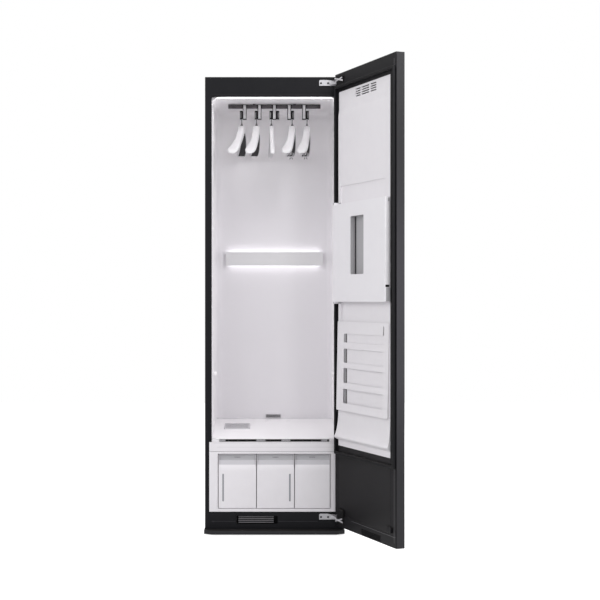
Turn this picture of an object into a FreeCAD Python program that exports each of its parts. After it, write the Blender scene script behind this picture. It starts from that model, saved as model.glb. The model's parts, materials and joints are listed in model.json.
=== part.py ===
import FreeCAD
import Part
import os
import re

import Sketcher

# A clothes care steam cabinet with its door standing open.
# Axes: +X to the right, +Y to the back, +Z up. Origin: centre of the casing's footprint, on the floor.
# The door's own pieces are drawn from the inner corner at the hinge: +X along the door to its free
# edge, +Y out through the door, +Z up. One placement then turns them about the hinge pins.

doc = FreeCAD.newDocument("SteamCabinet")
sheet = doc.addObject("Spreadsheet::Sheet", "Sizes")

# ---------------------------------------------------------------- driving sizes, millimetres and degrees
SIZES = {
    # casing and base
    "casing_width": 594,
    "casing_depth": 545,
    "casing_top": 1956,
    "casing_wall": 2,
    "base_height": 21,
    "pan_thickness": 3,
    "slack": 0.3,
    "foot_radius": 22,
    "foot_pad": 9,
    "stud_radius": 5,
    "foot_inset": 60,
    "plinth_overhang": 3,
    "plinth_reach": 49,
    "plinth_height": 16.5,
    "plinth_depth": 84,
    "base_panel_top": 95,
    "intake_left": -163,
    "intake_width": 177,
    "intake_bottom": 43,
    "intake_height": 35,
    "slat_pitch": 8.6,
    "slat_thickness": 3,
    "slat_rise": 3.2,
    "louvre_left": -180,
    "louvre_right": 60,
    "louvre_rise": 60,
    "louvre_pitch": 14,
    "louvre_slot": 5,
    "inlet_left": 200,
    "inlet_width": 28,
    "inlet_bottom": 60,
    "inlet_height": 20,
    "inlet_flange": 6,
    "inlet_wall": 3,
    "inlet_depth": 20,
    "inlet_pin": 2,
    "inlet_pin_pitch": 6,
    "inlet_pin_height": 4,
    # front frame
    "frame_depth": 24,
    "frame_side": 28,
    "frame_side_low": 18,
    "chamber_bottom": 393,
    "head_room": 83,
    # chamber
    "liner_wall": 3,
    "back_room": 55,
    "cove_radius": 30,
    "floor_front": 407,
    "floor_back": 452,
    "floor_thickness": 4,
    "filter_inset": 44,
    "filter_width": 116,
    "filter_front": 227,
    "filter_length": 135,
    "filter_thickness": 5,
    "grille_left": -42,
    "grille_width": 74,
    "grille_height": 20,
    "grille_thickness": 3,
    "gutter_inset": 32,
    "gutter_depth": 44,
    "gutter_wall": 2.5,
    "gutter_height": 30,
    "rib_thickness": 2,
    "rib_inset": 37,
    "strip_end": 1,
    "strip_depth": 18,
    "strip_height": 8,
    "bar_inset": 44,
    "bar_bottom": 1160,
    "bar_height": 63,
    "bar_reach": 25,
    "peg_height": 671,
    "peg_radius": 9,
    "peg_length": 12,
    "peg_depth": 285,
    # hanging rail and its drive
    "rail_depth": 230,
    "rail_inset": 64,
    "rail_drop": 20,
    "rail_height": 17,
    "rail_thickness": 20,
    "post_spread": 90,
    "post_radius": 6,
    "shake_travel": 15,
    "carriage_half": 98,
    "carriage_width": 36,
    "carriage_rise": 13,
    "carriage_height": 18,
    "rod_radius": 4,
    "rod_spread": 12,
    "running_fit": 0.05,
    "rod_block": 125,
    "rod_block_width": 12,
    "crank_back": 55,
    "crank_throw": 17,
    "crank_pin": 4,
    "yoke_slack": 1.6,
    "yoke_wall": 5,
    "disc_thickness": 6,
    "motor_radius": 28,
    "motor_height": 38,
    "bracket_plate": 3,
    "strap_pitch": 66,
    "strap_width": 17,
    "strap_drop": 49,
    "strap_leaf": 3,
    "cheek_height": 38,
    "cheek_plate": 3,
    "cheek_gap": 10,
    "hook_pin_rise": 20,
    "hook_pin": 3.5,
    "hook_drop": 16,
    # hangers
    "hook_offset": 13.5,
    "wire_radius": 2,
    "hook_lift": 0.3,
    "hanger_hang": 48,
    "hanger_reach": 200,
    "hanger_drop": 146,
    "neck_width": 27,
    "neck_height": 34,
    "arm_width": 36,
    "arm_height": 36,
    "arm_bow": 21,
    "slim_width": 20,
    "collar_radius": 6,
    "collar_height": 8,
    "clip_bar_radius": 2.5,
    "clip_bar_drop": 144,
    "clip_bar_half": 150,
    "clip_link": 42,
    "clip_link_radius": 2,
    "clip_link_inset": 8,
    "clip_inset": 34,
    "clip_rise": 6,
    "clip_width": 26,
    "clip_height": 30,
    "clip_thickness": 6,
    # tank module
    "bay_margin_left": 38,
    "bay_margin_right": 39,
    "bay_bottom": 108,
    "bay_top": 343,
    "bay_depth": 270,
    "bay_wall": 3,
    "bay_leg": 12,
    "bay_leg_inset": 8,
    "front_bottom": 110,
    "front_top": 341,
    "front_gap": 3,
    "front_inset": 2,
    "front_thickness": 22,
    "drawer_left_gap": 2,
    "drawer_right_gap": 2.5,
    "supply_share": 161,
    "drain_share": 159.5,
    "filter_share": 150,
    "scoop_bottom": 273,
    "scoop_depth": 15,
    "scoop_floor": 314,
    "scoop_top": 338,
    "scoop_margin": 5,
    "tank_wall": 2.5,
    "tank_inset": 4,
    "tank_length": 228,
    "tank_top": 330,
    # door
    "door_swing": 110.7,
    "door_bottom": 42,
    "door_rise": 4,
    "door_thickness": 36,
    "door_gap": 12,
    "skin": 4,
    "rim_wall": 1.5,
    "pin_inset": 14.3,
    "pin_depth": 19.5,
    "pin_radius": 4,
    "hinge_plate_inset": 106,
    "hinge_plate_length": 72,
    "hinge_plate_thickness": 3,
    "hinge_height": 28,
    "hinge_low": 61,
    "hinge_drop": 43,
    "arm_thickness": 18,
    "link_half": 4.2,
    "boss_radius": 6,
    "ear": 3,
    "pocket_length": 70,
    "pocket_depth": 29,
    "liner_left": 34,
    "liner_border": 53,
    "liner_bottom": 386,
    "liner_drop": 78,
    "liner_thickness": 12,
    "recess_left": 60,
    "recess_border": 94,
    "recess_bottom": 913,
    "recess_top": 1481,
    "recess_depth": 8,
    "gasket_left": 10,
    "gasket_border": 6,
    "gasket_bottom": 348,
    "gasket_drop": 52,
    "gasket_width": 12,
    "gasket_squeeze": 0.5,
    "lower_panel_bottom": 92,
    "mesh_left": 273,
    "mesh_right": 451,
    "mesh_bottom": 46,
    "mesh_top": 70,
    "vent_drop": 7,
    "vent_pitch": 9.5,
    "vent_slot": 5,
    "press_left": 30,
    "press_bottom": 994,
    "press_top": 1404,
    "press_proud": 22.5,
    "press_shell": 2,
    "window_left": 210,
    "window_right": 339,
    "window_bottom": 1107,
    "window_top": 1346,
    "press_pin_inset": 4,
    "press_pin_radius": 2.5,
    "press_ear": 8,
    "latch_bottom": 996,
    "latch_height": 54,
    "latch_reach": 8,
    "latch_width": 16,
    "latch_pivot": 48,
    "latch_pin": 2,
    "guide_left": 34,
    "guide_border": 59,
    "guide_bottom": 538,
    "guide_top": 912,
    "guide_thickness": 3,
    "guide_stand": 7,
    "guide_window_left": 100,
    "guide_window_border": 102,
    "apron_top": 538,
    "apron_tip": 426,
    "apron_reach": 20,
    "apron_under": 416,
    # machine room
    "can_side": 170,
    "can_back": 115,
    "can_radius": 55,
    "can_height": 130,
    "can_lift": 12,
    "dome_radius": 34,
    "dome_height": 26,
    "can_plate": 65,
    "can_foot": 9,
    "can_foot_spread": 52,
    "exchanger_front": 300,
    "exchanger_pitch": 60,
    "exchanger_depth": 40,
    "exchanger_height": 170,
    "fin_left": -60,
    "fin_pitch": 9,
    "fin_thickness": 1.2,
    "tube_left": -68,
    "tube_length": 170,
    "tube_radius": 4,
    "tube_pitch": 32,
    "fan_side": -150,
    "fan_depth": 395,
    "blower_lift": 126,
    "blower_radius": 80,
    "blower_height": 66,
    "blower_wall": 3,
    "blower_mouth": 45,
    "blower_bore": 8,
    "blower_leg": 12,
    "blower_leg_spread": 50,
    "fan_motor_radius": 30,
    "fan_motor_height": 50,
    "shaft_radius": 3,
    "wheel_lift": 9,
    "wheel_radius": 62,
    "wheel_height": 42,
    "wheel_hub": 12,
    "blade_ring": 45,
    "blade_length": 16,
    "blade_thickness": 1.6,
    "boiler_back": 45,
    "boiler_radius": 32,
    "boiler_height": 170,
    "boiler_neck": 9,
    "hose_back": 32,
    "hose_radius": 6,
    "hose_bend": 14,
    "pump_side": 165,
    "pump_back": 230,
    "pump_half": 25,
    "pump_height": 34,
    "pump_can": 16,
    "pump_spigot": 4,
    "board_left": 30,
    "board_right": 230,
    "board_front": 345,
    "board_margin": 38,
    "board_tray": 8,
    "board_part_inset": 12,
}

# sizes that follow from the ones above
FOLLOWS = {
    "opening_half": "casing_width / 2 - frame_side",
    "plinth_width": "casing_width + 2 * plinth_overhang",
    "chamber_top": "casing_top - head_room",
    "chamber_back": "casing_depth - back_room",
    "filter_left": "filter_inset - opening_half",
    "gutter_half": "opening_half - gutter_inset",
    "rib_pitch": "(gutter_half - rib_inset) / 5",
    "strip_half": "opening_half - cove_radius - strip_end",
    "bar_half": "opening_half - bar_inset",
    "rail_half": "opening_half - rail_inset",
    "rail_bottom": "chamber_top - rail_drop",
    "carriage_bottom": "chamber_top + carriage_rise",
    "strap_bottom": "rail_bottom - strap_drop",
    "cheek_top": "strap_bottom + cheek_height",
    "hook_pin_height": "strap_bottom + hook_pin_rise",
    "hanger_top": "hook_pin_height - hanger_hang",
    "clip_bar_height": "hanger_top - clip_bar_drop",
    "module_half": "casing_width / 2 - frame_side_low",
    "bay_left": "bay_margin_left - module_half",
    "bay_right": "module_half - bay_margin_right",
    "bay_clear": "bay_right - bay_left - drawer_left_gap - drawer_right_gap - 2 * front_gap",
    "drawer_shares": "supply_share + drain_share + filter_share",
    "supply_width": "bay_clear * supply_share / drawer_shares",
    "drain_width": "bay_clear * drain_share / drawer_shares",
    "filter_drawer_width": "bay_clear * filter_share / drawer_shares",
    "door_top": "casing_top + door_rise",
    "hinge_plate_left": "casing_width / 2 - hinge_plate_inset",
    "hinge_high": "door_top - hinge_drop",
    "liner_right": "casing_width - liner_border",
    "liner_top": "door_top - liner_drop",
    "recess_right": "casing_width - recess_border",
    "gasket_right": "casing_width - gasket_border",
    "gasket_top": "door_top - gasket_drop",
    "vent_top": "liner_top - vent_drop",
    "press_right": "casing_width - liner_border",
    "guide_right": "casing_width - guide_border",
    "guide_window_right": "casing_width - guide_window_border",
}
NAMES = list(SIZES) + list(FOLLOWS)

for row, alias in enumerate(NAMES, start=1):
    sheet.set("A%d" % row, alias)
    sheet.set("B%d" % row, "=" + FOLLOWS[alias] if alias in FOLLOWS else str(SIZES[alias]))
    sheet.setAlias("B%d" % row, alias)
doc.recompute()

PARTS = []
WORD = re.compile(r"[a-z_]+")


def bound(expression):
    """The expression with each named size pointed at its cell in the sheet."""
    def cell(found):
        word = found.group()
        return "Sizes." + word if word in NAMES else word
    return WORD.sub(cell, str(expression))


def number(expression):
    """The present value of an expression, as a plain number."""
    return float(sheet.evalExpression(bound(expression)))


def bind(thing, **expressions):
    """Tie properties of an object to the sheet; at_x, at_y, at_z and turn_z place it."""
    places = {"at_x": "Placement.Base.x", "at_y": "Placement.Base.y", "at_z": "Placement.Base.z"}
    for key, expression in expressions.items():
        thing.setExpression(places.get(key, key), bound(expression))
    return thing


def box(name, x, y, z):
    """A block between two places on each axis."""
    block = doc.addObject("Part::Box", name)
    bind(block, Length="(%s) - (%s)" % (x[1], x[0]), Width="(%s) - (%s)" % (y[1], y[0]))
    bind(block, Height="(%s) - (%s)" % (z[1], z[0]), at_x=x[0], at_y=y[0], at_z=z[0])
    return block


AXIS_TURNS = {
    "X": FreeCAD.Rotation(FreeCAD.Vector(0, 1, 0), 90),
    "Y": FreeCAD.Rotation(FreeCAD.Vector(1, 0, 0), -90),
    "Z": FreeCAD.Rotation(),
}


def rod(name, radius, length, at, axis="Z"):
    """A round bar that starts at a point and runs along an axis."""
    bar = doc.addObject("Part::Cylinder", name)
    bind(bar, Radius=radius, Height=length, at_x=at[0], at_y=at[1], at_z=at[2])
    bar.Placement.Rotation = AXIS_TURNS[axis]
    return bar


def join(name, *pieces):
    """One solid made of overlapping pieces."""
    whole = doc.addObject("Part::MultiFuse", name)
    whole.Shapes = list(pieces)
    return whole


def cut(name, base, *tools):
    """A piece with the tools taken out of it."""
    tool = tools[0] if len(tools) == 1 else join(name + "_tools", *tools)
    rest = doc.addObject("Part::Cut", name)
    rest.Base = base
    rest.Tool = tool
    return rest


def group(name, *pieces):
    """Separate solids that share one file, such as a set of screws."""
    together = doc.addObject("Part::Compound", name)
    together.Links = list(pieces)
    return together


def keep(thing, label):
    """Mark an object as a finished sub-part; its label names its file."""
    thing.Label = label
    PARTS.append(thing)
    return thing


def origin_plane(body, role):
    """One of a body's own origin planes."""
    return [feature for feature in body.Origin.OriginFeatures if feature.Role == role][0]


def outline(body, name, role, corners):
    """A closed sketch of straight sides whose corners are tied to the sheet."""
    sketch = body.newObject("Sketcher::SketchObject", name)
    sketch.AttachmentSupport = (origin_plane(body, role), [""])
    sketch.MapMode = "FlatFace"
    points = [FreeCAD.Vector(number(u), number(v), 0) for u, v in corners]
    count = len(points)
    for side in range(count):
        sketch.addGeometry(Part.LineSegment(points[side], points[(side + 1) % count]), False)
    for side in range(count):
        sketch.addConstraint(Sketcher.Constraint("Coincident", side, 2, (side + 1) % count, 1))
    for side, (u, v) in enumerate(corners):
        for kind, expression in (("DistanceX", u), ("DistanceY", v)):
            tie = Sketcher.Constraint(kind, -1, 1, side, 1, number(expression))
            index = sketch.addConstraint(tie)
            sketch.setExpression("Constraints[%d]" % index, bound(expression))
    return sketch


def prism(name, role, corners, length, centred=True):
    """A body padded from a straight-sided outline."""
    body = doc.addObject("PartDesign::Body", name)
    pad = body.newObject("PartDesign::Pad", name + "_pad")
    pad.Profile = outline(body, name + "_outline", role, corners)
    pad.Midplane = centred
    bind(pad, Length=length)
    doc.recompute()
    return body


def round_edges(body, radius, wanted):
    """Round the edges of a body's last feature for which wanted(edge) is true."""
    base = body.Tip
    names = ["Edge%d" % (i + 1) for i, edge in enumerate(base.Shape.Edges) if wanted(edge)]
    rounded = body.newObject("PartDesign::Fillet", body.Name + "_rounding")
    rounded.Base = (base, names)
    bind(rounded, Radius=radius)
    doc.recompute()
    return body


def along(edge, axis):
    """True where a straight edge runs along an axis."""
    run = edge.Vertexes[-1].Point - edge.Vertexes[0].Point
    return run.Length > 0 and abs(abs(run.normalize()[axis]) - 1) < 1e-6


# places that many pieces share
HALF = "casing_width / 2"
FRONT = "-casing_depth / 2"
BACK = "casing_depth / 2"
INSIDE = "casing_width / 2 - casing_wall"
OPENING = "opening_half"
REAR_FACE = "casing_depth / 2 - casing_wall"
PAN_TOP = "base_height + pan_thickness"
LINER_FRONT = "-casing_depth / 2 + frame_depth"
WALL_BACK = "-casing_depth / 2 + chamber_back"
RAIL_Y = "-casing_depth / 2 + rail_depth"
CRANK_Y = RAIL_Y + " + crank_back"
DECK = "chamber_top + liner_wall"

# ---------------------------------------------------------------- casing
def outer_casing():
    """The wrapper: one bent sheet, two sides and the top."""
    outer = box("casing_outer", ("-" + HALF, HALF), (FRONT, BACK), ("base_height", "casing_top"))
    inner_z = ("base_height - 5", "casing_top - casing_wall")
    inner = box("casing_inner", ("-(%s)" % INSIDE, INSIDE), (FRONT + " - 5", BACK + " + 5"), inner_z)
    return keep(cut("casing", outer, inner), "outer_casing")


def rear_panel():
    """The back sheet, with louvre slots low down and a hole for the power inlet."""
    sheet_back = box("rear_sheet", ("-(%s)" % INSIDE, INSIDE), (REAR_FACE, BACK),
                     (PAN_TOP, "casing_top - casing_wall"))
    through = (REAR_FACE + " - 5", BACK + " + 5")
    slots = []
    for row_number in range(8):
        low = "%s + louvre_rise + %d * louvre_pitch" % (PAN_TOP, row_number)
        slots.append(box("louvre_%d" % row_number, ("louvre_left", "louvre_right"), through,
                         (low, low + " + louvre_slot")))
    slots.append(box("inlet_hole", ("inlet_left", "inlet_left + inlet_width"), through,
                     ("inlet_bottom", "inlet_bottom + inlet_height")))
    return keep(cut("rear", sheet_back, *slots), "rear_panel")


def inlet_span(start, size, grow):
    """A range round the inlet's hole that is larger than it by grow on both sides."""
    return ("%s - (%s)" % (start, grow), "%s + %s + (%s)" % (start, size, grow))


def power_inlet():
    """The inlet socket: a body inside the rear panel and a flange behind it."""
    def block(name, grow, y):
        return box(name, inlet_span("inlet_left", "inlet_width", grow), y,
                   inlet_span("inlet_bottom", "inlet_height", grow))
    flange = block("inlet_flange_plate", "inlet_flange", (REAR_FACE + " - inlet_wall", REAR_FACE))
    neck = block("inlet_neck", "-slack", (REAR_FACE + " - inlet_depth", BACK + " - slack"))
    mouth = block("inlet_mouth", "-inlet_wall", (REAR_FACE + " - inlet_depth + 5", BACK + " + 1"))
    middle_x = "inlet_left + inlet_width / 2 - inlet_pin / 2"
    middle_z = "inlet_bottom + inlet_height / 2"
    pins = []
    for place in (-1, 0, 1):
        left = "%s + %d * inlet_pin_pitch" % (middle_x, place)
        pins.append(box("inlet_pin_%d" % place, (left, left + " + inlet_pin"),
                        (REAR_FACE + " - inlet_depth + 4", BACK + " - 4"),
                        (middle_z + " - inlet_pin_height / 2", middle_z + " + inlet_pin_height / 2")))
    shell = cut("inlet_shell", join("inlet_solid", flange, neck), mouth)
    return keep(join("inlet", shell, *pins), "power_inlet")


def base_pan():
    """The floor sheet of the machine room."""
    return keep(box("pan", ("-(%s)" % INSIDE, INSIDE), (FRONT + " + frame_depth", REAR_FACE),
                    ("base_height", PAN_TOP)), "base_pan")


def levelling_feet():
    """Four round feet on threaded studs under the base pan."""
    feet = []
    for side in (-1, 1):
        for end in (-1, 1):
            x = "%d * (casing_width / 2 - foot_inset)" % side
            y = "%d * (casing_depth / 2 - foot_inset)" % end
            pad = rod("foot_pad_%d" % len(feet), "foot_radius", "foot_pad", (x, y, "0"))
            stud = rod("foot_stud_%d" % len(feet), "stud_radius", "base_height", (x, y, "0"))
            feet.append(join("foot_%d" % len(feet), pad, stud))
    return keep(group("feet", *feet), "levelling_feet")


def plinth():
    """The kick plate, which stands out in front of the casing just above the floor."""
    front = FRONT + " - plinth_reach"
    low = "base_height - plinth_height"
    shape = box("plinth_solid", ("-plinth_width / 2", "plinth_width / 2"), (front, front + " + plinth_depth"),
                (low, "base_height"))
    return keep(shape, "plinth")


def front_frame():
    """The dark frame round the chamber's mouth; its sides are narrower beside the tank module."""
    y = (FRONT, LINER_FRONT)
    whole = box("frame_whole", ("-(%s)" % INSIDE, INSIDE), y, ("base_panel_top", "casing_top - casing_wall"))
    clear_y = (FRONT + " - 5", LINER_FRONT + " + 5")
    mouth = box("frame_mouth", ("-(%s)" % OPENING, OPENING), clear_y, ("chamber_bottom", "chamber_top"))
    low = box("frame_low", ("-module_half", "module_half"), clear_y,
              ("base_panel_top - 5", "chamber_bottom"))
    return keep(cut("frame", whole, mouth, low), "front_frame")


def base_panel():
    """The dark panel under the tanks, with the air intake cut through it."""
    y = (FRONT, LINER_FRONT)
    plate = box("base_plate", ("-(%s)" % INSIDE, INSIDE), y, ("base_height", "base_panel_top"))
    hole = box("intake_hole", ("intake_left", "intake_left + intake_width"),
               (FRONT + " - 5", LINER_FRONT + " + 5"), ("intake_bottom", "intake_bottom + intake_height"))
    return keep(cut("base_front", plate, hole), "base_panel")


def intake_slats():
    """A frame with four level slats that fills the intake."""
    x = ("intake_left + slack", "intake_left + intake_width - slack")
    y = (FRONT + " + 1", FRONT + " + 12")
    z = ("intake_bottom + slack", "intake_bottom + intake_height - slack")
    edge = box("slat_frame", x, y, z)
    hollow = box("slat_hollow", (x[0] + " + 3", x[1] + " - 3"), (y[0] + " - 5", y[1] + " + 5"),
                 (z[0] + " + 2", z[1] + " - 2"))
    slats = []
    for step in range(4):
        low = "intake_bottom + slat_rise + slat_pitch * %d" % step
        slats.append(box("slat_%d" % step, (x[0] + " + 2", x[1] + " - 2"), (y[0] + " + 1", y[1]),
                         (low, low + " + slat_thickness")))
    return keep(join("slats", cut("slat_ring", edge, hollow), *slats), "intake_slats")


# ---------------------------------------------------------------- care chamber
def rounded_block(name, half, low, high, back, radius):
    """A block with its back and top edges rounded, open ends left square."""
    corners = [("-(%s)" % half, LINER_FRONT), (half, LINER_FRONT), (half, back), ("-(%s)" % half, back)]
    body = prism(name, "XY_Plane", corners, "(%s) - (%s)" % (high, low), centred=False)
    bind(body, at_z=low)
    top = number("(%s) - (%s)" % (high, low))
    rear = number(back)

    def wanted(edge):
        centre = edge.CenterOfMass
        upright_back = along(edge, 2) and abs(centre.y - rear) < 1
        ceiling = abs(centre.z - top) < 1 and (along(edge, 1) or abs(centre.y - rear) < 1)
        return upright_back or ceiling
    return round_edges(body, radius, wanted)


def chamber_liner():
    """The white moulded chamber, with coved corners."""
    outer = rounded_block("liner_outer", OPENING + " + liner_wall", "chamber_bottom",
                          "chamber_top + liner_wall", WALL_BACK + " + liner_wall", "cove_radius + liner_wall")
    inner = rounded_block("liner_inner", OPENING, "chamber_bottom - 10", "chamber_top", WALL_BACK,
                          "cove_radius")
    mouth = box("liner_mouth", ("-(%s)" % OPENING, OPENING), (LINER_FRONT + " - 1", LINER_FRONT + " + 1"),
                ("chamber_bottom - 10", "chamber_top"))
    tools = [inner, mouth]
    for side in (-1, 1):
        x = "%d * post_spread" % side
        reach = "post_radius + shake_travel + 1"
        tools.append(box("ceiling_slot_%d" % side, ("%s - (%s)" % (x, reach), "%s + %s" % (x, reach)),
                         (RAIL_Y + " - post_radius - 1", RAIL_Y + " + post_radius + 1"),
                         ("chamber_top - 5", DECK + " + 5")))
    return keep(cut("liner", outer, *tools), "chamber_liner")


FLOOR_NEAR = LINER_FRONT + " + 2"
FLOOR_FAR = WALL_BACK + " - slack"


def floor_at(depth):
    """Height of the sloping floor at a depth behind the front plane."""
    run = "(chamber_back - slack - frame_depth - 2)"
    return "floor_front + (floor_back - floor_front) * (%s - frame_depth - 2) / %s" % (depth, run)


def chamber_floor():
    """The drip floor: it rises to the back and drains forwards; one hole takes the filter."""
    corners = [(FLOOR_NEAR, "floor_front - floor_thickness"), (FLOOR_FAR, "floor_back - floor_thickness"),
               (FLOOR_FAR, "floor_back"), (FLOOR_NEAR, "floor_front")]
    slab = prism("floor_slab", "YZ_Plane", corners, "2 * (%s - slack)" % OPENING)
    rear = number(FLOOR_FAR)
    round_edges(slab, "cove_radius", lambda edge: along(edge, 2) and abs(edge.CenterOfMass.y - rear) < 1)
    hole = box("filter_hole", ("filter_left", "filter_left + filter_width"),
               (FRONT + " + filter_front", FRONT + " + filter_front + filter_length"),
               ("floor_front - 20", "floor_back + 20"))
    return keep(cut("drip_floor", slab, hole), "chamber_floor")


def floor_filter():
    """A lift-out slotted cover that lies in the floor's hole, level with the slope."""
    near = "filter_front + slack"
    far = "filter_front + filter_length - slack"
    corners = [(FRONT + " + " + near, floor_at(near) + " - filter_thickness"),
               (FRONT + " + " + far, floor_at(far) + " - filter_thickness"),
               (FRONT + " + " + far, floor_at(far)), (FRONT + " + " + near, floor_at(near))]
    plate = prism("filter_plate", "YZ_Plane", corners, "filter_width - 2 * slack")
    bind(plate, at_x="filter_left + filter_width / 2")
    slots = []
    for step in range(6):
        left = "filter_left + 8 + %d * 17.5" % step
        slots.append(box("filter_slot_%d" % step, (left, left + " + 12"),
                         (FRONT + " + filter_front + 8", FRONT + " + filter_front + filter_length - 8"),
                         ("floor_front - 20", "floor_back + 20")))
    return keep(cut("filter_cover", plate, *slots), "floor_filter")


def air_grille():
    """The small grille where air leaves the chamber's back wall."""
    z = ("floor_back + 1", "floor_back + 1 + grille_height")
    plate = box("grille_plate", ("grille_left", "grille_left + grille_width"),
                (WALL_BACK + " - grille_thickness", WALL_BACK), z)
    slots = [box("grille_slot_%d" % n, ("grille_left + 4 + %d * 9.6" % n, "grille_left + 10 + %d * 9.6" % n),
                 (WALL_BACK + " - 10", WALL_BACK + " - 1"), (z[0] + " + 4", z[1] + " - 4")) for n in range(7)]
    return keep(cut("grille", plate, *slots), "air_grille")


def air_gutter():
    """The dark channel under the floor's front edge, open to the front between its ribs."""
    y = (LINER_FRONT, LINER_FRONT + " + gutter_depth")
    top = "floor_front - floor_thickness - slack"
    z = (top + " - gutter_height", top)
    x = ("-gutter_half", "gutter_half")
    block = box("gutter_block", x, y, z)
    hollow = box("gutter_hollow", (x[0] + " + gutter_wall", x[1] + " - gutter_wall"),
                 (y[0] + " - 5", y[1] + " - gutter_wall"), (z[0] + " + gutter_wall", z[1] + " - gutter_wall"))
    ribs = []
    for step in range(11):
        left = "%d * rib_pitch" % (step - 5)
        ribs.append(box("rib_%d" % step, (left, left + " + rib_thickness"), (y[0] + " + 4", y[1]), z))
    return keep(join("gutter", cut("gutter_shell", block, hollow), *ribs), "air_gutter")


def ceiling_light():
    """The light strip along the front of the ceiling."""
    near = LINER_FRONT + " + 4"
    return keep(box("strip", ("-strip_half", "strip_half"), (near, near + " + strip_depth"),
                    ("chamber_top - strip_height", "chamber_top")), "ceiling_light")


def light_bar():
    """The light bar on the back wall; light leaves it above and below."""
    z = ("bar_bottom", "bar_bottom + bar_height")
    face = WALL_BACK + " - bar_reach"
    plate = box("bar_plate", ("-bar_half", "bar_half"), (face, face + " + 4"), z)
    core = box("bar_core", ("-bar_half + 4", "bar_half - 4"), (face + " + 3", WALL_BACK),
               (z[0] + " + 5", z[1] + " - 5"))
    return keep(join("bar", plate, core), "light_bar")


def shelf_pegs():
    """A peg on each side wall that carries a lay-on shelf."""
    y = FRONT + " + peg_depth"
    right = rod("peg_right", "peg_radius", "peg_length", (OPENING + " - peg_length", y, "peg_height"), "X")
    left = rod("peg_left", "peg_radius", "peg_length", ("-(%s)" % OPENING, y, "peg_height"), "X")
    return keep(group("pegs", left, right), "shelf_pegs")


# ---------------------------------------------------------------- drive of the hanging rail
ROD_HEIGHT = "carriage_bottom + carriage_height / 2"
MOTOR_SEAT = "carriage_bottom + carriage_height + 8"


def shaker_bracket():
    """A deck plate on the ceiling with two guide rods in end blocks, and the shelf of the motor."""
    reach = "rod_block + rod_block_width"
    deck_top = DECK + " + bracket_plate"
    plate = box("deck_plate", ("-(%s)" % reach, reach), (RAIL_Y + " - 30", CRANK_Y + " + 52"),
                (DECK, deck_top))
    slots = []
    for side in (-1, 1):
        x = "%d * post_spread" % side
        half = "post_radius + shake_travel + 1"
        slots.append(box("deck_slot_%d" % side, ("%s - (%s)" % (x, half), "%s + %s" % (x, half)),
                         (RAIL_Y + " - post_radius - 1", RAIL_Y + " + post_radius + 1"),
                         (DECK + " - 5", deck_top + " + 5")))
    pieces = [cut("deck", plate, *slots)]
    for side, left in ((-1, "-(%s)" % reach), (1, "rod_block")):
        pieces.append(box("rod_block_%d" % side, (left, left + " + rod_block_width"),
                          (RAIL_Y + " - 22", RAIL_Y + " + 22"), (deck_top + " - 1", ROD_HEIGHT + " + 9")))
    for side in (-1, 1):
        pieces.append(rod("guide_rod_%d" % side, "rod_radius", "2 * (%s) - 4" % reach,
                          ("-(%s) + 2" % reach, "%s + %d * rod_spread" % (RAIL_Y, side), ROD_HEIGHT), "X"))
    pieces.append(box("motor_leg", ("-45", "45"), (CRANK_Y + " + 47", CRANK_Y + " + 50"),
                      (deck_top + " - 1", MOTOR_SEAT)))
    shelf = box("motor_shelf", ("-45", "45"), (CRANK_Y + " - 25", CRANK_Y + " + 50"),
                (MOTOR_SEAT + " - bracket_plate", MOTOR_SEAT))
    pieces.append(cut("motor_shelf_bored", shelf,
                      rod("shaft_hole", "7", "20", ("0", CRANK_Y, MOTOR_SEAT + " - 10"))))
    return keep(join("bracket", *pieces), "shaker_bracket")


def shaker_motor():
    """The geared motor that stands over the crank."""
    can = rod("motor_can", "motor_radius", "motor_height", ("0", CRANK_Y, MOTOR_SEAT))
    stub = box("motor_plug", ("-9", "9"), (CRANK_Y + " + motor_radius - 4", CRANK_Y + " + motor_radius + 8"),
               (MOTOR_SEAT + " + 4", MOTOR_SEAT + " + 16"))
    bore = rod("motor_bore", "3 + running_fit", "22", ("0", CRANK_Y, MOTOR_SEAT + " - 1"))
    return keep(cut("motor", join("motor_solid", can, stub), bore), "shaker_motor")


def drive_crank():
    """The crank: a shaft up into the motor, a disc and one pin down into the yoke."""
    disc_low = MOTOR_SEAT + " - bracket_plate - 1 - disc_thickness"
    shaft = rod("crank_shaft", "3", "(%s + 18) - (%s)" % (MOTOR_SEAT, disc_low), ("0", CRANK_Y, disc_low))
    disc = rod("crank_disc", "crank_throw + crank_pin + 3", "disc_thickness", ("0", CRANK_Y, disc_low))
    pin_low = "carriage_bottom - 1"
    pin = rod("crank_pin_rod", "crank_pin", "(%s + 1) - (%s)" % (disc_low, pin_low),
              ("0", CRANK_Y + " - crank_throw", pin_low))
    return keep(join("crank", shaft, disc, pin), "drive_crank")


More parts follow.
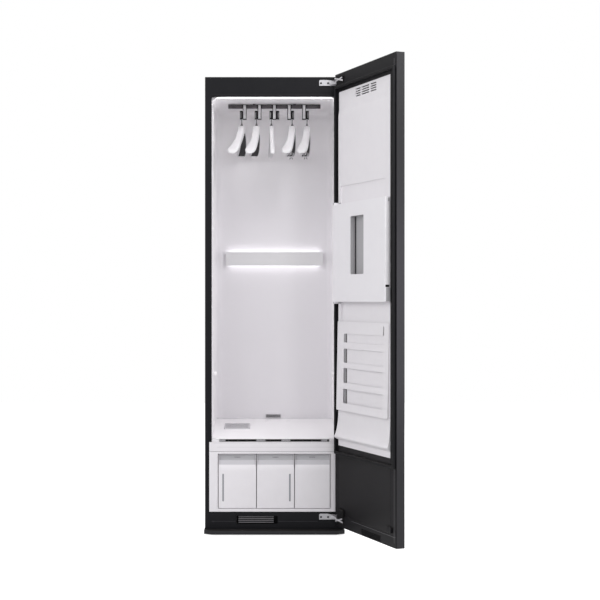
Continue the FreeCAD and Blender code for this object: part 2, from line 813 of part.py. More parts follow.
def hanger_rail():
    """The rail, its two posts and the carriage on the guide rods, with the yoke at the back."""
    carriage_top = "carriage_bottom + carriage_height"
    rail = box("rail_bar", ("-rail_half", "rail_half"),
               (RAIL_Y + " - rail_thickness / 2", RAIL_Y + " + rail_thickness / 2"),
               ("rail_bottom", "rail_bottom + rail_height"))
    y = (RAIL_Y + " - carriage_width / 2", RAIL_Y + " + carriage_width / 2")
    carriage = box("carriage_block", ("-carriage_half", "carriage_half"), y,
                   ("carriage_bottom", carriage_top))
    bores = [rod("carriage_bore_%d" % side, "rod_radius + running_fit", "2 * carriage_half + 10",
                 ("-carriage_half - 5", "%s + %d * rod_spread" % (RAIL_Y, side), ROD_HEIGHT), "X")
             for side in (-1, 1)]
    posts = [rod("post_%d" % side, "post_radius", "(carriage_bottom + 1) - (rail_bottom + rail_height - 1)",
                 ("%d * post_spread" % side, RAIL_Y, "rail_bottom + rail_height - 1")) for side in (-1, 1)]
    wide = "crank_pin + yoke_slack + yoke_wall"
    yoke_z = ("carriage_bottom", "carriage_bottom + 6")
    yoke = box("yoke_plate", ("-(%s)" % wide, wide), (y[1] + " - 1", CRANK_Y + " + yoke_wall"), yoke_z)
    slot = box("yoke_slot", ("-(crank_pin + yoke_slack)", "crank_pin + yoke_slack"),
               (CRANK_Y + " - crank_throw - crank_pin - yoke_slack", CRANK_Y),
               ("carriage_bottom - 5", yoke_z[1] + " + 5"))
    bored = cut("carriage_bored", carriage, *bores)
    return keep(join("rail", rail, bored, cut("yoke", yoke, slot), *posts), "hanger_rail")


SEATS = ((-2, -1), (-1, -1), (0, -1), (1, 1), (2, 1))  # strap place, side of the hook
SPARE_SEAT = (0, 1)


def hook_straps():
    """Five straps clipped under and over the front of the rail."""
    straps = []
    for place in range(-2, 3):
        x = ("%d * strap_pitch - strap_width / 2" % place, "%d * strap_pitch + strap_width / 2" % place)
        front = RAIL_Y + " - rail_thickness / 2"
        block = box("strap_block_%d" % place, x, (front, RAIL_Y + " + rail_thickness / 2"),
                    ("strap_bottom", "rail_bottom"))
        leaf = box("strap_leaf_%d" % place, x, (front + " - strap_leaf", front),
                   ("strap_bottom", "rail_bottom + rail_height - 4"))
        straps.append(join("strap_%d" % place, block, leaf))
    return keep(group("straps", *straps), "hook_straps")


def seat_x(place, side, inner, outer):
    """Low and high X of something between two distances beside a strap."""
    edge = "%d * strap_pitch + %d * (strap_width / 2 + %%s)" % (place, side)
    ends = [edge % inner, edge % outer]
    return ends if side > 0 else ends[::-1]


def hook_cheeks():
    """The dark side plates: a round bar for the hook, a bridge over it and an outer plate."""
    cheeks = []
    y = (RAIL_Y + " - rail_thickness / 2", RAIL_Y + " + rail_thickness / 2")
    for place, side in SEATS + (SPARE_SEAT,):
        tag = "%d_%d" % (place, side)
        outer = box("cheek_outer_" + tag, seat_x(place, side, "cheek_gap", "cheek_gap + cheek_plate"), y,
                    ("strap_bottom", "cheek_top"))
        bridge = box("cheek_bridge_" + tag, seat_x(place, side, "0", "cheek_gap + 1"), y,
                     ("cheek_top - 3", "cheek_top"))
        bar_x = seat_x(place, side, "0", "cheek_gap + 1")
        bar = rod("cheek_bar_" + tag, "hook_pin", "cheek_gap + 1", (bar_x[0], RAIL_Y, "hook_pin_height"), "X")
        cheeks.append(join("cheek_" + tag, outer, bridge, bar))
    return keep(group("cheeks", *cheeks), "hook_cheeks")


# ---------------------------------------------------------------- hangers
HOOK_RING = "(hook_pin + hook_lift + wire_radius)"
STEM_TOP = "(hook_pin_height - hook_drop)"
HANGERS = (("full", -3.3), ("full", -3.3), ("slim", -1), ("clip", -3.3), ("clip", -3.3))


def hanger_hook(tag):
    """A wire hook over the seat's bar, with a straight stem down into the neck."""
    ring = doc.addObject("Part::Torus", "hook_ring_" + tag)
    bind(ring, Radius1=HOOK_RING, Radius2="wire_radius", Angle3="180", at_z="hook_pin_height")
    ring.Placement.Rotation = FreeCAD.Rotation(FreeCAD.Vector(1, 1, 1), 120)
    side_low = "(hook_pin_height - hook_pin - 2.5)"
    side = rod("hook_side_" + tag, "wire_radius", "hook_pin + 2.5", ("0", "-" + HOOK_RING, side_low))
    slant = rod("hook_slant_" + tag, "wire_radius",
                "sqrt(%s ^ 2 + (%s - %s) ^ 2)" % (HOOK_RING, side_low, STEM_TOP), ("0", "0", STEM_TOP))
    slant.Placement.Rotation = FreeCAD.Rotation(FreeCAD.Vector(1, 0, 0), 1)
    bind(slant, **{"Placement.Rotation.Angle": "atan(%s / (%s - %s))" % (HOOK_RING, side_low, STEM_TOP)})
    balls = []
    for number_of, (y, z) in enumerate((("-" + HOOK_RING, side_low), ("0", STEM_TOP))):
        ball = doc.addObject("Part::Sphere", "hook_bend_%s_%d" % (tag, number_of))
        balls.append(bind(ball, Radius="wire_radius", at_y=y, at_z=z))
    stem = rod("hook_stem_" + tag, "wire_radius", "%s - hanger_top + 6" % STEM_TOP,
               ("0", "0", "hanger_top - 6"))
    collar = rod("hook_collar_" + tag, "collar_radius", "collar_height", ("0", "0", "hanger_top - 2"))
    return [ring, side, slant, stem, collar] + balls


def hanger_arms(tag, kind):
    """The moulded arms: a loft through five sections that drops and bows towards the tips."""
    body = doc.addObject("PartDesign::Body", "arms_" + tag)
    sections = []
    for step in range(-2, 3):
        share = abs(step) / 2
        bow = "0" if kind == "slim" else "-arm_bow * %g" % share ** 2
        width = "slim_width" if kind == "slim" else "(neck_width + (arm_width - neck_width) * %g)" % share
        height = "(neck_height + (arm_height - neck_height) * %g)" % share
        middle = "(hanger_top - neck_height / 2 - (hanger_drop - arm_height) * %g)" % share ** 1.2
        corners = [("%s - %s / 2" % (bow, width), "%s - %s / 2" % (middle, height)),
                   ("%s + %s / 2" % (bow, width), "%s - %s / 2" % (middle, height)),
                   ("%s + %s / 2" % (bow, width), "%s + %s / 2" % (middle, height)),
                   ("%s - %s / 2" % (bow, width), "%s + %s / 2" % (middle, height))]
        section = outline(body, "arm_section_%s_%d" % (tag, step + 2), "XZ_Plane", corners)
        section.setExpression("AttachmentOffset.Base.z", bound("-hanger_reach * %g" % (step / 2)))
        sections.append(section)
    loft = body.newObject("PartDesign::AdditiveLoft", "arm_loft_" + tag)
    loft.Profile = sections[0]
    loft.Sections = sections[1:]
    loft.Ruled = True
    return body


def hang(thing, seat, turn):
    """Put a hanger, or something on it, at its seat on the rail."""
    place, side = seat
    thing.Placement.Rotation = FreeCAD.Rotation(FreeCAD.Vector(0, 0, 1), turn)
    return bind(thing, at_x="%d * strap_pitch + %d * hook_offset" % (place, side), at_y=RAIL_Y)


def clip_bar(tag):
    """A steel bar under the arms with two trouser clips and two short links up to the arms."""
    x = "-arm_bow * 0.5"
    pieces = [rod("clip_rod_" + tag, "clip_bar_radius", "2 * clip_bar_half",
                  (x, "-clip_bar_half", "clip_bar_height"), "Y")]
    for side in (-1, 1):
        link_y = "%d * (clip_bar_half - clip_link_inset)" % side
        pieces.append(rod("clip_link_%s_%d" % (tag, side), "clip_link_radius", "clip_link",
                          (x, link_y, "clip_bar_height")))
        clip_y = "%d * (clip_bar_half - clip_inset)" % side
        top = "clip_bar_height + clip_rise"
        pieces.append(box("clip_%s_%d" % (tag, side),
                          ("%s - clip_thickness" % x, "%s + clip_thickness" % x),
                          (clip_y + " - clip_width / 2", clip_y + " + clip_width / 2"),
                          (top + " - clip_height", top)))
    return join("clip_bar_whole_" + tag, *pieces)


def hangers():
    """Five hangers, one in each seat but the spare one; the last two carry trouser clips."""
    for index, ((kind, turn), seat) in enumerate(zip(HANGERS, SEATS), start=1):
        tag = str(index)
        shape = join("hanger_whole_" + tag, hanger_arms(tag, kind), *hanger_hook(tag))
        keep(hang(shape, seat, turn), "hanger_" + tag)
        if kind == "clip":
            keep(hang(clip_bar(tag), seat, turn), "clip_bar_" + tag)


# ---------------------------------------------------------------- machine room
FAN = ("fan_side", FRONT + " + fan_depth")


def compressor():
    """The sealed can on a plate with four rubber feet."""
    x, y = "can_side", BACK + " - can_back"
    low = PAN_TOP + " + can_lift"
    pieces = [rod("compressor_can", "can_radius", "can_height", (x, y, low))]
    dome = doc.addObject("Part::Cone", "compressor_dome")
    bind(dome, Radius1="can_radius", Radius2="dome_radius", Height="dome_height", at_x=x, at_y=y,
         at_z=low + " + can_height")
    pieces.append(dome)
    pieces.append(box("compressor_plate", (x + " - can_plate", x + " + can_plate"),
                      (y + " - can_plate", y + " + can_plate"), (low + " - pan_thickness", low + " + 1")))
    for side in (-1, 1):
        for end in (-1, 1):
            at = ("%s + %d * can_foot_spread" % (x, side), "%s + %d * can_foot_spread" % (y, end), PAN_TOP)
            pieces.append(rod("compressor_foot_%d_%d" % (side, end), "can_foot", "can_lift - 2", at))
    return keep(join("compressor_whole", *pieces), "compressor")


def heat_exchangers():
    """The evaporator and the condenser: thin fins threaded on crossing tubes."""
    blocks = []
    for index in range(2):
        front = FRONT + " + exchanger_front + %d * exchanger_pitch" % index
        y = (front, front + " + exchanger_depth")
        pieces = []
        for step in range(18):
            left = "fin_left + %d * fin_pitch" % step
            pieces.append(box("fin_%d_%d" % (index, step), (left, left + " + fin_thickness"), y,
                              (PAN_TOP, PAN_TOP + " + exchanger_height")))
        for row_number in range(5):
            height = PAN_TOP + " + exchanger_depth / 2 + %d * tube_pitch" % row_number
            pieces.append(rod("tube_%d_%d" % (index, row_number), "tube_radius", "tube_length",
                              ("tube_left", front + " + exchanger_depth / 2", height), "X"))
        blocks.append(join("exchanger_%d" % index, *pieces))
    return keep(group("exchangers", *blocks), "heat_exchangers")


BLOWER_FLOOR = PAN_TOP + " + blower_lift"


def blower_housing():
    """The round fan casing on four legs, open above at its inlet and at one side at its outlet."""
    x, y = FAN
    outer = rod("blower_outer", "blower_radius", "blower_height", (x, y, BLOWER_FLOOR))
    inner = rod("blower_inner", "blower_radius - blower_wall", "blower_height - 2 * blower_wall",
                (x, y, BLOWER_FLOOR + " + blower_wall"))
    inlet = rod("blower_inlet", "blower_mouth", "4 * blower_wall",
                (x, y, BLOWER_FLOOR + " + blower_height - 2 * blower_wall"))
    shaft_hole = rod("blower_shaft_hole", "blower_bore", "4 * blower_wall",
                     (x, y, BLOWER_FLOOR + " - blower_wall"))
    outlet = box("blower_outlet", (x + " + blower_radius / 4", x + " + blower_radius * 3 / 4"),
                 (y, y + " + blower_radius + 20"),
                 (BLOWER_FLOOR + " + 3 * blower_wall", BLOWER_FLOOR + " + blower_height - 3 * blower_wall"))
    pieces = [cut("blower_shell", outer, inner, inlet, shaft_hole, outlet)]
    for a in (-1, 1):
        for b in (-1, 1):
            leg_x = "%s + %d * blower_leg_spread" % (x, a)
            leg_y = "%s + %d * blower_leg_spread" % (y, b)
            pieces.append(box("blower_leg_%d_%d" % (a, b),
                              (leg_x + " - blower_leg / 2", leg_x + " + blower_leg / 2"),
                              (leg_y + " - blower_leg / 2", leg_y + " + blower_leg / 2"),
                              (PAN_TOP, BLOWER_FLOOR + " + 1")))
    return keep(join("blower", *pieces), "blower_housing")


def fan_motor():
    """The motor under the blower, with its shaft up through the casing."""
    x, y = FAN
    can = rod("fan_motor_can", "fan_motor_radius", "fan_motor_height",
              (x, y, BLOWER_FLOOR + " - fan_motor_height"))
    shaft = rod("fan_shaft", "shaft_radius", "wheel_lift + wheel_height + 1", (x, y, BLOWER_FLOOR + " - 1"))
    return keep(join("fan_motor_whole", can, shaft), "fan_motor")


def fan_wheel():
    """The wheel: a hub on the shaft, a floor disc and a ring of upright blades."""
    x, y = FAN
    low = BLOWER_FLOOR + " + wheel_lift"
    pieces = [rod("wheel_hub_rod", "wheel_hub", "wheel_height - 4", (x, y, low)),
              rod("wheel_disc", "wheel_radius", "blower_wall", (x, y, low))]
    blade_count = 20
    for step in range(blade_count):
        blade = doc.addObject("Part::Box", "blade_%d" % step)
        turn = step * 360 / blade_count
        bind(blade, Length="blade_length", Width="blade_thickness", Height="wheel_height", at_z=low)
        bind(blade, at_x="%s + blade_ring * cos(%g)" % (x, turn),
             at_y="%s + blade_ring * sin(%g)" % (y, turn))
        blade.Placement.Rotation = FreeCAD.Rotation(FreeCAD.Vector(0, 0, 1), turn + 20)
        pieces.append(blade)
    bore = rod("wheel_bore", "shaft_radius + running_fit", "wheel_height + 20", (x, y, low + " - 5"))
    return keep(cut("wheel", join("wheel_solid", *pieces), bore), "fan_wheel")


GRILLE_X = "grille_left + grille_width / 2"
HOSE_Z = "floor_back + 1 + grille_height / 2"
HOSE_Y = BACK + " - hose_back"


def steam_generator():
    """The boiler: a standing can with a flange at its foot and a neck for the hose."""
    at = (GRILLE_X, BACK + " - boiler_back")
    can = rod("boiler_can", "boiler_radius", "boiler_height", at + (PAN_TOP,))
    foot = rod("boiler_foot", "boiler_radius + 4", "pan_thickness + 1", at + (PAN_TOP,))
    neck = rod("boiler_neck_rod", "boiler_neck", "boiler_neck + 5",
               (GRILLE_X, HOSE_Y, PAN_TOP + " + boiler_height - 4"))
    return keep(join("boiler", can, foot, neck), "steam_generator")


def steam_hose():
    """The hose from the boiler's neck up and forwards to the back wall behind the small grille."""
    low = PAN_TOP + " + boiler_height + boiler_neck + 1"
    up = rod("hose_up", "hose_radius", "(%s) - (%s) - hose_bend" % (HOSE_Z, low), (GRILLE_X, HOSE_Y, low))
    start = WALL_BACK + " + liner_wall"
    over = rod("hose_over", "hose_radius", "(%s) - (%s) - hose_bend" % (HOSE_Y, start),
               (GRILLE_X, start, HOSE_Z), "Y")
    bend = doc.addObject("Part::Torus", "hose_elbow")
    bind(bend, Radius1="hose_bend", Radius2="hose_radius", Angle3="90", at_x=GRILLE_X,
         at_y=HOSE_Y + " - hose_bend", at_z="%s - hose_bend" % HOSE_Z)
    bend.Placement.Rotation = FreeCAD.Rotation(FreeCAD.Vector(1, 1, 1), 120)
    return keep(join("hose", up, over, bend), "steam_hose")


def water_pump():
    """The feed pump: a block with a round motor and two spigots."""
    x, y = "pump_side", BACK + " - pump_back"
    block = box("pump_block", (x + " - pump_half", x + " + pump_half"),
                (y + " - pump_half + 5", y + " + pump_half - 5"), (PAN_TOP, PAN_TOP + " + pump_height"))
    top = PAN_TOP + " + pump_height - 1"
    pieces = [block, rod("pump_can_rod", "pump_can", "pump_height + 6", (x, y, top))]
    for side in (-1, 1):
        pieces.append(rod("pump_spigot_%d" % side, "pump_spigot", "3 * pump_spigot",
                          ("%s + %d * (pump_half - 6)" % (x, side), y, top)))
    return keep(join("pump", *pieces), "water_pump")


def control_board():
    """The board in its tray on the ceiling, with its tallest components."""
    y = (FRONT + " + board_front", WALL_BACK + " - board_margin")
    pieces = [box("board_tray_box", ("board_left", "board_right"), y, (DECK, DECK + " + board_tray"))]
    components = ((15, 30, 28), (60, 40, 18), (120, 22, 34), (160, 28, 14))  # start, width and height
    for index, (start, width, height) in enumerate(components):
        left = "board_left + %d" % start
        pieces.append(box("board_block_%d" % index, (left, "%s + %d" % (left, width)),
                          (y[0] + " + board_part_inset", y[1] + " - board_part_inset"),
                          (DECK + " + board_tray - 1", DECK + " + board_tray + %d" % height)))
    return keep(join("board", *pieces), "control_board")


# ---------------------------------------------------------------- tank module
SUPPLY = ("bay_left + drawer_left_gap", "supply_width")
DRAIN = (SUPPLY[0] + " + supply_width + front_gap", "drain_width")
FILTER = (DRAIN[0] + " + drain_width + front_gap", "filter_drawer_width")


def module_frame():
    """The white surround of the three drawers, with a seam under its top bar."""
    plate = box("module_plate", ("-module_half", "module_half"), (FRONT, LINER_FRONT),
                ("base_panel_top", "chamber_bottom"))
    clear = (FRONT + " - 5", LINER_FRONT + " + 5")
    mouth = box("module_mouth", ("bay_left", "bay_right"), clear, ("bay_bottom", "bay_top"))
    seam = box("module_seam", ("-module_half - 1", "module_half + 1"), (FRONT + " - 1", FRONT + " + 1"),
               ("bay_top + 9.5", "bay_top + 10.5"))
    return keep(cut("module", plate, mouth, seam), "module_frame")


def tank_bay():
    """The tray that carries the drawers: floor, sides, back and two partitions, on two rear legs."""
    x = ("bay_left - bay_wall", "bay_right + bay_wall")
    y = (LINER_FRONT, FRONT + " + bay_depth")
    floor_z = ("bay_bottom - bay_wall", "bay_bottom")
    wall_z = ("bay_bottom - bay_wall", "bay_top")
    pieces = [box("bay_floor", x, y, floor_z), box("bay_back", x, (y[1] + " - bay_wall", y[1]), wall_z),
              box("bay_side_left", (x[0], "bay_left"), y, wall_z),
              box("bay_side_right", ("bay_right", x[1]), y, wall_z)]
    for index, (left, width) in enumerate((SUPPLY, DRAIN)):
        middle = "%s + %s + front_gap / 2" % (left, width)
        pieces.append(box("bay_partition_%d" % index, (middle + " - 1", middle + " + 1"), y, wall_z))
    leg_back = y[1] + " - bay_leg_inset"
    for index, left in enumerate((x[0], x[1] + " - bay_leg")):
        pieces.append(box("bay_leg_%d" % index, (left, left + " + bay_leg"),
                          (leg_back + " - bay_leg", leg_back),
                          (PAN_TOP, floor_z[1])))
    return keep(join("bay", *pieces), "tank_bay")


def drawer_front(name, left, width):
    """A drawer's front: a plain face with a finger scoop across its top."""
    y = (FRONT + " + front_inset", FRONT + " + front_inset + front_thickness")
    plate = box(name + "_plate", (left, "%s + %s" % (left, width)), y, ("front_bottom", "front_top"))
    deep = y[0] + " + scoop_depth"
    corners = [(y[0] + " - 1", "scoop_bottom"), (y[0], "scoop_bottom"), (y[0] + " + scoop_depth * 0.6",
               "(scoop_bottom + scoop_floor) / 2"), (deep, "scoop_floor"), (deep, "scoop_top"),
               (y[0] + " - 1", "scoop_top")]
    scoop = prism(name + "_scoop", "YZ_Plane", corners, "%s - 2 * scoop_margin" % width)
    bind(scoop, at_x="%s + %s / 2" % (left, width))
    return keep(cut(name + "_shape", plate, scoop), name)


def vessel(name, left, width, top):
    """An open-topped box behind a drawer's front."""
    x = (left + " + tank_inset", "%s + %s - tank_inset" % (left, width))
    near = FRONT + " + front_inset + front_thickness"
    y = (near, near + " + tank_length")
    z = ("bay_bottom + slack", top)
    inner = box(name + "_inside", (x[0] + " + tank_wall", x[1] + " - tank_wall"),
                (y[0] + " + tank_wall", y[1] + " - tank_wall"), (z[0] + " + tank_wall", z[1] + " + 5"))
    return keep(cut(name + "_shape", box(name + "_block", x, y, z), inner), name)


def tank_module():
    """The supply tank, the drain tank and the filter drawer."""
    drawer_front("supply_front", *SUPPLY)
    drawer_front("drain_front", *DRAIN)
    drawer_front("filter_front_panel", *FILTER)
    vessel("supply_tank", *SUPPLY, "tank_top")
    vessel("drain_tank", *DRAIN, "tank_top")
    vessel("filter_tray", *FILTER, "tank_top - 120")


# ---------------------------------------------------------------- door, drawn from its inner hinge corner
HEADING = "(180 + door_swing)"
PIN_X = "(casing_width / 2 - pin_inset)"
PIN_Y = "(-casing_depth / 2 - door_gap - pin_depth)"
DOOR_X = "%s - pin_inset * cos(%s) + pin_depth * sin(%s)" % (PIN_X, HEADING, HEADING)
DOOR_Y = "%s - pin_inset * sin(%s) - pin_depth * cos(%s)" % (PIN_Y, HEADING, HEADING)
DOOR_Z = ("door_bottom", "door_top")
HINGES = ("hinge_low", "hinge_high")


def on_door(thing, label):
    """Turn a piece drawn in the door's own axes to where the open door stands."""
    placed = group(label + "_placed", thing)
    placed.Placement.Rotation = FreeCAD.Rotation(FreeCAD.Vector(0, 0, 1), 1)
    bind(placed, at_x=DOOR_X, at_y=DOOR_Y, **{"Placement.Rotation.Angle": HEADING})
    return keep(placed, label)


def hinge_pockets(name, start, end, depth):
    """The two hollows in the door that the hinge arms reach into."""
    return [box("%s_pocket_%s" % (name, low), (start, end), ("-5", depth),
                (low + " - 1", low + " + hinge_height + 1")) for low in HINGES]


def door_outer():
    """The outer sheet: a shallow pan with a narrow flange all round."""
    pan = box("pan_block", ("0", "casing_width"), ("skin / 2", "door_thickness"), DOOR_Z)
    hollow = box("pan_hollow", ("rim_wall", "casing_width - rim_wall"), ("-5", "door_thickness - skin"),
                 ("door_bottom + rim_wall", "door_top - rim_wall"))
    pockets = hinge_pockets("pan_cut", "-5", "5", "pocket_depth")
    return on_door(cut("door_pan", pan, hollow, *pockets), "door_outer")


def door_insulation():
    """The foam block that fills the pan behind the liner."""
    block = box("foam_block", ("rim_wall", "casing_width - rim_wall"),
                ("liner_thickness", "door_thickness - skin"),
                ("door_bottom + rim_wall", "door_top - rim_wall"))
    return on_door(cut("foam", block, *hinge_pockets("foam_cut", "-5", "pocket_length", "pocket_depth")),
                   "door_insulation")


def door_frame():
    """The dark inner frame: a lip over the pan's flange, a thicker ring inside it and a vent below."""
    lip = box("frame_lip", ("0", "casing_width"), ("0", "skin / 2"), DOOR_Z)
    ring = box("frame_ring", ("rim_wall", "casing_width - rim_wall"), ("0", "liner_thickness"),
               ("door_bottom + rim_wall", "door_top - rim_wall"))
    mouth = box("frame_window", ("liner_left", "liner_right"), ("-5", "liner_thickness + 5"),
                ("lower_panel_bottom", "liner_top"))
    tools = [mouth] + hinge_pockets("frame_cut", "-5", "pocket_length", "pocket_depth")
    for step in range(20):
        left = "mesh_left + 2 + %d * 8.8" % step
        tools.append(box("mesh_slot_%d" % step, (left, left + " + 5"), ("-5", "liner_thickness - 4"),
                         ("mesh_bottom", "mesh_top")))
    return on_door(cut("inner_frame", join("inner_frame_solid", lip, ring), *tools), "door_frame")


def door_liner():
    """The white liner: top vents, a shallow recess behind the press and a drip apron at its foot."""
    slab = box("liner_slab", ("liner_left + slack", "liner_right - slack"), ("0", "liner_thickness"),
               ("liner_bottom + slack", "liner_top - slack"))
    recess = box("liner_recess", ("recess_left", "recess_right"), ("-5", "recess_depth"),
                 ("recess_bottom", "recess_top"))
    vents = []
    for column, (left, right) in enumerate(((203, 254), (262, 339), (348, 406))):
        for row_number in range(4):
            low = "vent_top - %d * vent_pitch - vent_slot" % row_number
            vents.append(box("vent_%d_%d" % (column, row_number), (left, right),
                             ("-5", "liner_thickness - 3"), (low, low + " + vent_slot")))
    corners = [("1", "apron_top"), ("0", "apron_top"), ("-apron_reach * 0.15", "apron_top - 48"),
               ("-apron_reach * 0.45", "apron_top - 84"), ("-apron_reach", "apron_tip"),
               ("-apron_reach + 3", "apron_under"), ("1", "apron_under - 4")]
    apron = prism("apron", "YZ_Plane", corners, "liner_right - liner_left - 2 * slack")
    bind(apron, at_x="(liner_left + liner_right) / 2")
    return on_door(join("liner_whole", cut("liner_pressed", slab, recess, *vents), apron), "door_liner")


def door_gasket():
    """The soft seal on the inner face; it nearly closes the gap to the front frame."""
    y = ("gasket_squeeze - door_gap", "0")
    ring = box("gasket_block", ("gasket_left", "gasket_right"), y, ("gasket_bottom", "gasket_top"))
    hollow = box("gasket_hollow", ("gasket_left + gasket_width", "gasket_right - gasket_width"),
                 ("-door_gap - 5", "5"), ("gasket_bottom + gasket_width", "gasket_top - gasket_width"))
    return on_door(cut("gasket_ring", ring, hollow), "door_gasket")


def door_lower_panel():
    """The dark panel that fills the frame below the liner."""
    return on_door(box("lower_plate", ("liner_left + slack", "liner_right - slack"), ("0", "liner_thickness"),
                       ("lower_panel_bottom + slack", "liner_bottom")), "door_lower_panel")


PRESS_PIN_S = "(press_left + press_pin_inset)"
PRESS_PIN_P = "(press_pin_inset - press_proud)"
PRESS_Z = ("press_bottom", "press_top")


def press_base():
    """The pressing plate in the recess, with an ear and a pin above and below the cover."""
    plate = box("press_plate", ("recess_left + slack", "recess_right - slack"),
                ("-press_shell", "recess_depth"), ("press_bottom + 6", "press_top - 6"))
    pieces = [plate]
    ears = (("press_top + slack", "-26"), ("press_bottom - slack - press_ear", "0"))
    for index, (low, tail) in enumerate(ears):
        z = (low, low + " + press_ear")
        pieces.append(box("ear_%d" % index, ("press_left", "press_left + 2 * press_pin_inset"),
                          ("-press_proud", "0"), z))
        pieces.append(box("ear_arm_%d" % index, ("press_left", "recess_left + 8"), ("-press_shell", "0"), z))
        foot = "%s + (%s)" % (low, tail)
        pieces.append(box("ear_foot_%d" % index, ("recess_left + slack", "recess_left + 8"),
                          ("-press_shell", "0"), (foot, foot + " + 34")))
    pin = "press_pin_radius"
    reach = "12 + slack"
    pieces.append(rod("press_pin_top", pin, reach + " + 4", (PRESS_PIN_S, PRESS_PIN_P, "press_top - 12")))
    pieces.append(rod("press_pin_low", pin, reach + " + 4",
                      (PRESS_PIN_S, PRESS_PIN_P, "press_bottom - slack - 4")))
    return on_door(join("press_base_whole", *pieces), "press_base")


def press_cover():
    """The press's swinging cover, with a window that shows the clothes line up."""
    block = box("cover_block", ("press_left", "press_right"),
                ("-press_proud", "-press_shell - slack"), PRESS_Z)
    window = box("cover_window", ("window_left", "window_right"), ("-press_proud - 5", "5"),
                 ("window_bottom", "window_top"))
    bores = [rod("cover_bore_%d" % index, "press_pin_radius + running_fit", "18",
                 (PRESS_PIN_S, PRESS_PIN_P, low))
             for index, low in enumerate(("press_top - 13", "press_bottom - 5"))]
    pivot = rod("latch_bore", "latch_pin + running_fit", "14",
                ("press_right - 10", "-press_proud / 2", "latch_bottom + latch_pivot"), "X")
    return on_door(cut("cover", block, window, pivot, *bores), "press_cover")


def press_latch():
    """The lever at the cover's free edge; it turns on a short pin."""
    half = "latch_width / 2"
    middle = "-press_proud / 2"
    lever = box("latch_lever", ("press_right + slack", "press_right + latch_reach"),
                ("%s - %s" % (middle, half), "%s + %s" % (middle, half)),
                ("latch_bottom", "latch_bottom + latch_height"))
    pin = rod("latch_pin_rod", "latch_pin", "9 + slack",
              ("press_right - 8", middle, "latch_bottom + latch_pivot"), "X")
    return on_door(join("latch", lever, pin), "press_latch")


GUIDE_WINDOWS = ((570, 630), (655, 717), (739, 798), (824, 861))


def trouser_guide():
    """The guide frame: a shallow tray, flush at its top and proud at its foot, with four windows."""
    proud = "guide_thickness + guide_stand"
    width = "guide_right - guide_left"
    outer = prism("guide_outer", "YZ_Plane", [("0", "guide_bottom"), ("0", "guide_top"),
                  ("-guide_thickness", "guide_top"), ("-(%s)" % proud, "guide_bottom")], width)
    inner = prism("guide_inner", "YZ_Plane", [("5", "guide_bottom + 3"), ("5", "guide_top - 3"),
                  ("0", "guide_top - 3"), ("-guide_stand", "guide_bottom + 3")], width + " - 6")
    middle = "(guide_left + guide_right) / 2"
    bind(outer, at_x=middle)
    bind(inner, at_x=middle)
    tools = [inner]
    for index, (low, high) in enumerate(GUIDE_WINDOWS):
        tools.append(box("guide_window_%d" % index, ("guide_window_left", "guide_window_right"),
                         ("-(%s) - 5" % proud, "5"), (low, high)))
    tools.append(box("guide_slot", ("guide_window_right - 12", "guide_window_right"),
                     ("-(%s) - 5" % proud, "5"), (GUIDE_WINDOWS[-1][1] - 1, "guide_top - 10")))
    return on_door(cut("guide", outer, *tools), "trouser_guide")


def hinge_cups():
    """The two brackets in the door's pockets: a web and two bored ears each."""
    cups = []
    for low in HINGES:
        block = box("cup_block_" + low, ("2", "pocket_length - 8"), ("ear + 1", "pocket_depth"),
                    (low, low + " + hinge_height"))
        hollow = box("cup_hollow_" + low, ("-5", "pocket_length"), ("-5", "pocket_depth - ear"),
                     (low + " + ear", low + " + hinge_height - ear"))
        bore = rod("cup_bore_" + low, "pin_radius + running_fit", "hinge_height + 10",
                   ("pin_inset", "pin_depth", low + " - 5"))
        cups.append(cut("cup_" + low, block, hollow, bore))
    return on_door(group("cups", *cups), "hinge_cups")


SCREW_PLACES = (13, 34, 59)


def hinge_plates():
    """The plates on the cabinet, each with a foot, an arm and the hinge pin at the arm's end."""
    plates = []
    right = "hinge_plate_left + hinge_plate_length"
    for low in HINGES:
        z = (low, low + " + hinge_height")
        arm_z = low + " + (hinge_height - arm_thickness) / 2"
        plate = box("plate_" + low, ("hinge_plate_left", right),
                    (FRONT + " - hinge_plate_thickness", FRONT), z)
        holes = [rod("plate_hole_%s_%d" % (low, place), "2.2", "10",
                     ("hinge_plate_left + %d" % place, FRONT + " - 8", low + " + hinge_height / 2"), "Y")
                 for place in SCREW_PLACES[:2]]
        foot = box("plate_foot_" + low, (right + " - 27", right + " - 5"), (FRONT + " - 10", FRONT),
                   (arm_z, arm_z + " + arm_thickness"))
        start_x = right + " - 17"
        start_y = FRONT + " - 6"
        corners = [(PIN_X + " + link_half", PIN_Y + " + link_half"),
                   (PIN_X + " - link_half", PIN_Y + " - link_half"),
                   (start_x + " - link_half", start_y + " - link_half"),
                   (start_x + " + link_half", start_y + " + link_half")]
        arm = prism("hinge_arm_" + low, "XY_Plane", corners, "arm_thickness", centred=False)
        bind(arm, at_z=arm_z)
        boss = rod("hinge_boss_" + low, "boss_radius", "arm_thickness", (PIN_X, PIN_Y, arm_z))
        pin = rod("hinge_pin_" + low, "pin_radius", "hinge_height - 1", (PIN_X, PIN_Y, low + " + 0.5"))
        plates.append(join("hinge_" + low, cut("plate_drilled_" + low, plate, *holes), foot, arm, boss, pin))
    return keep(group("hinges", *plates), "hinge_plates")


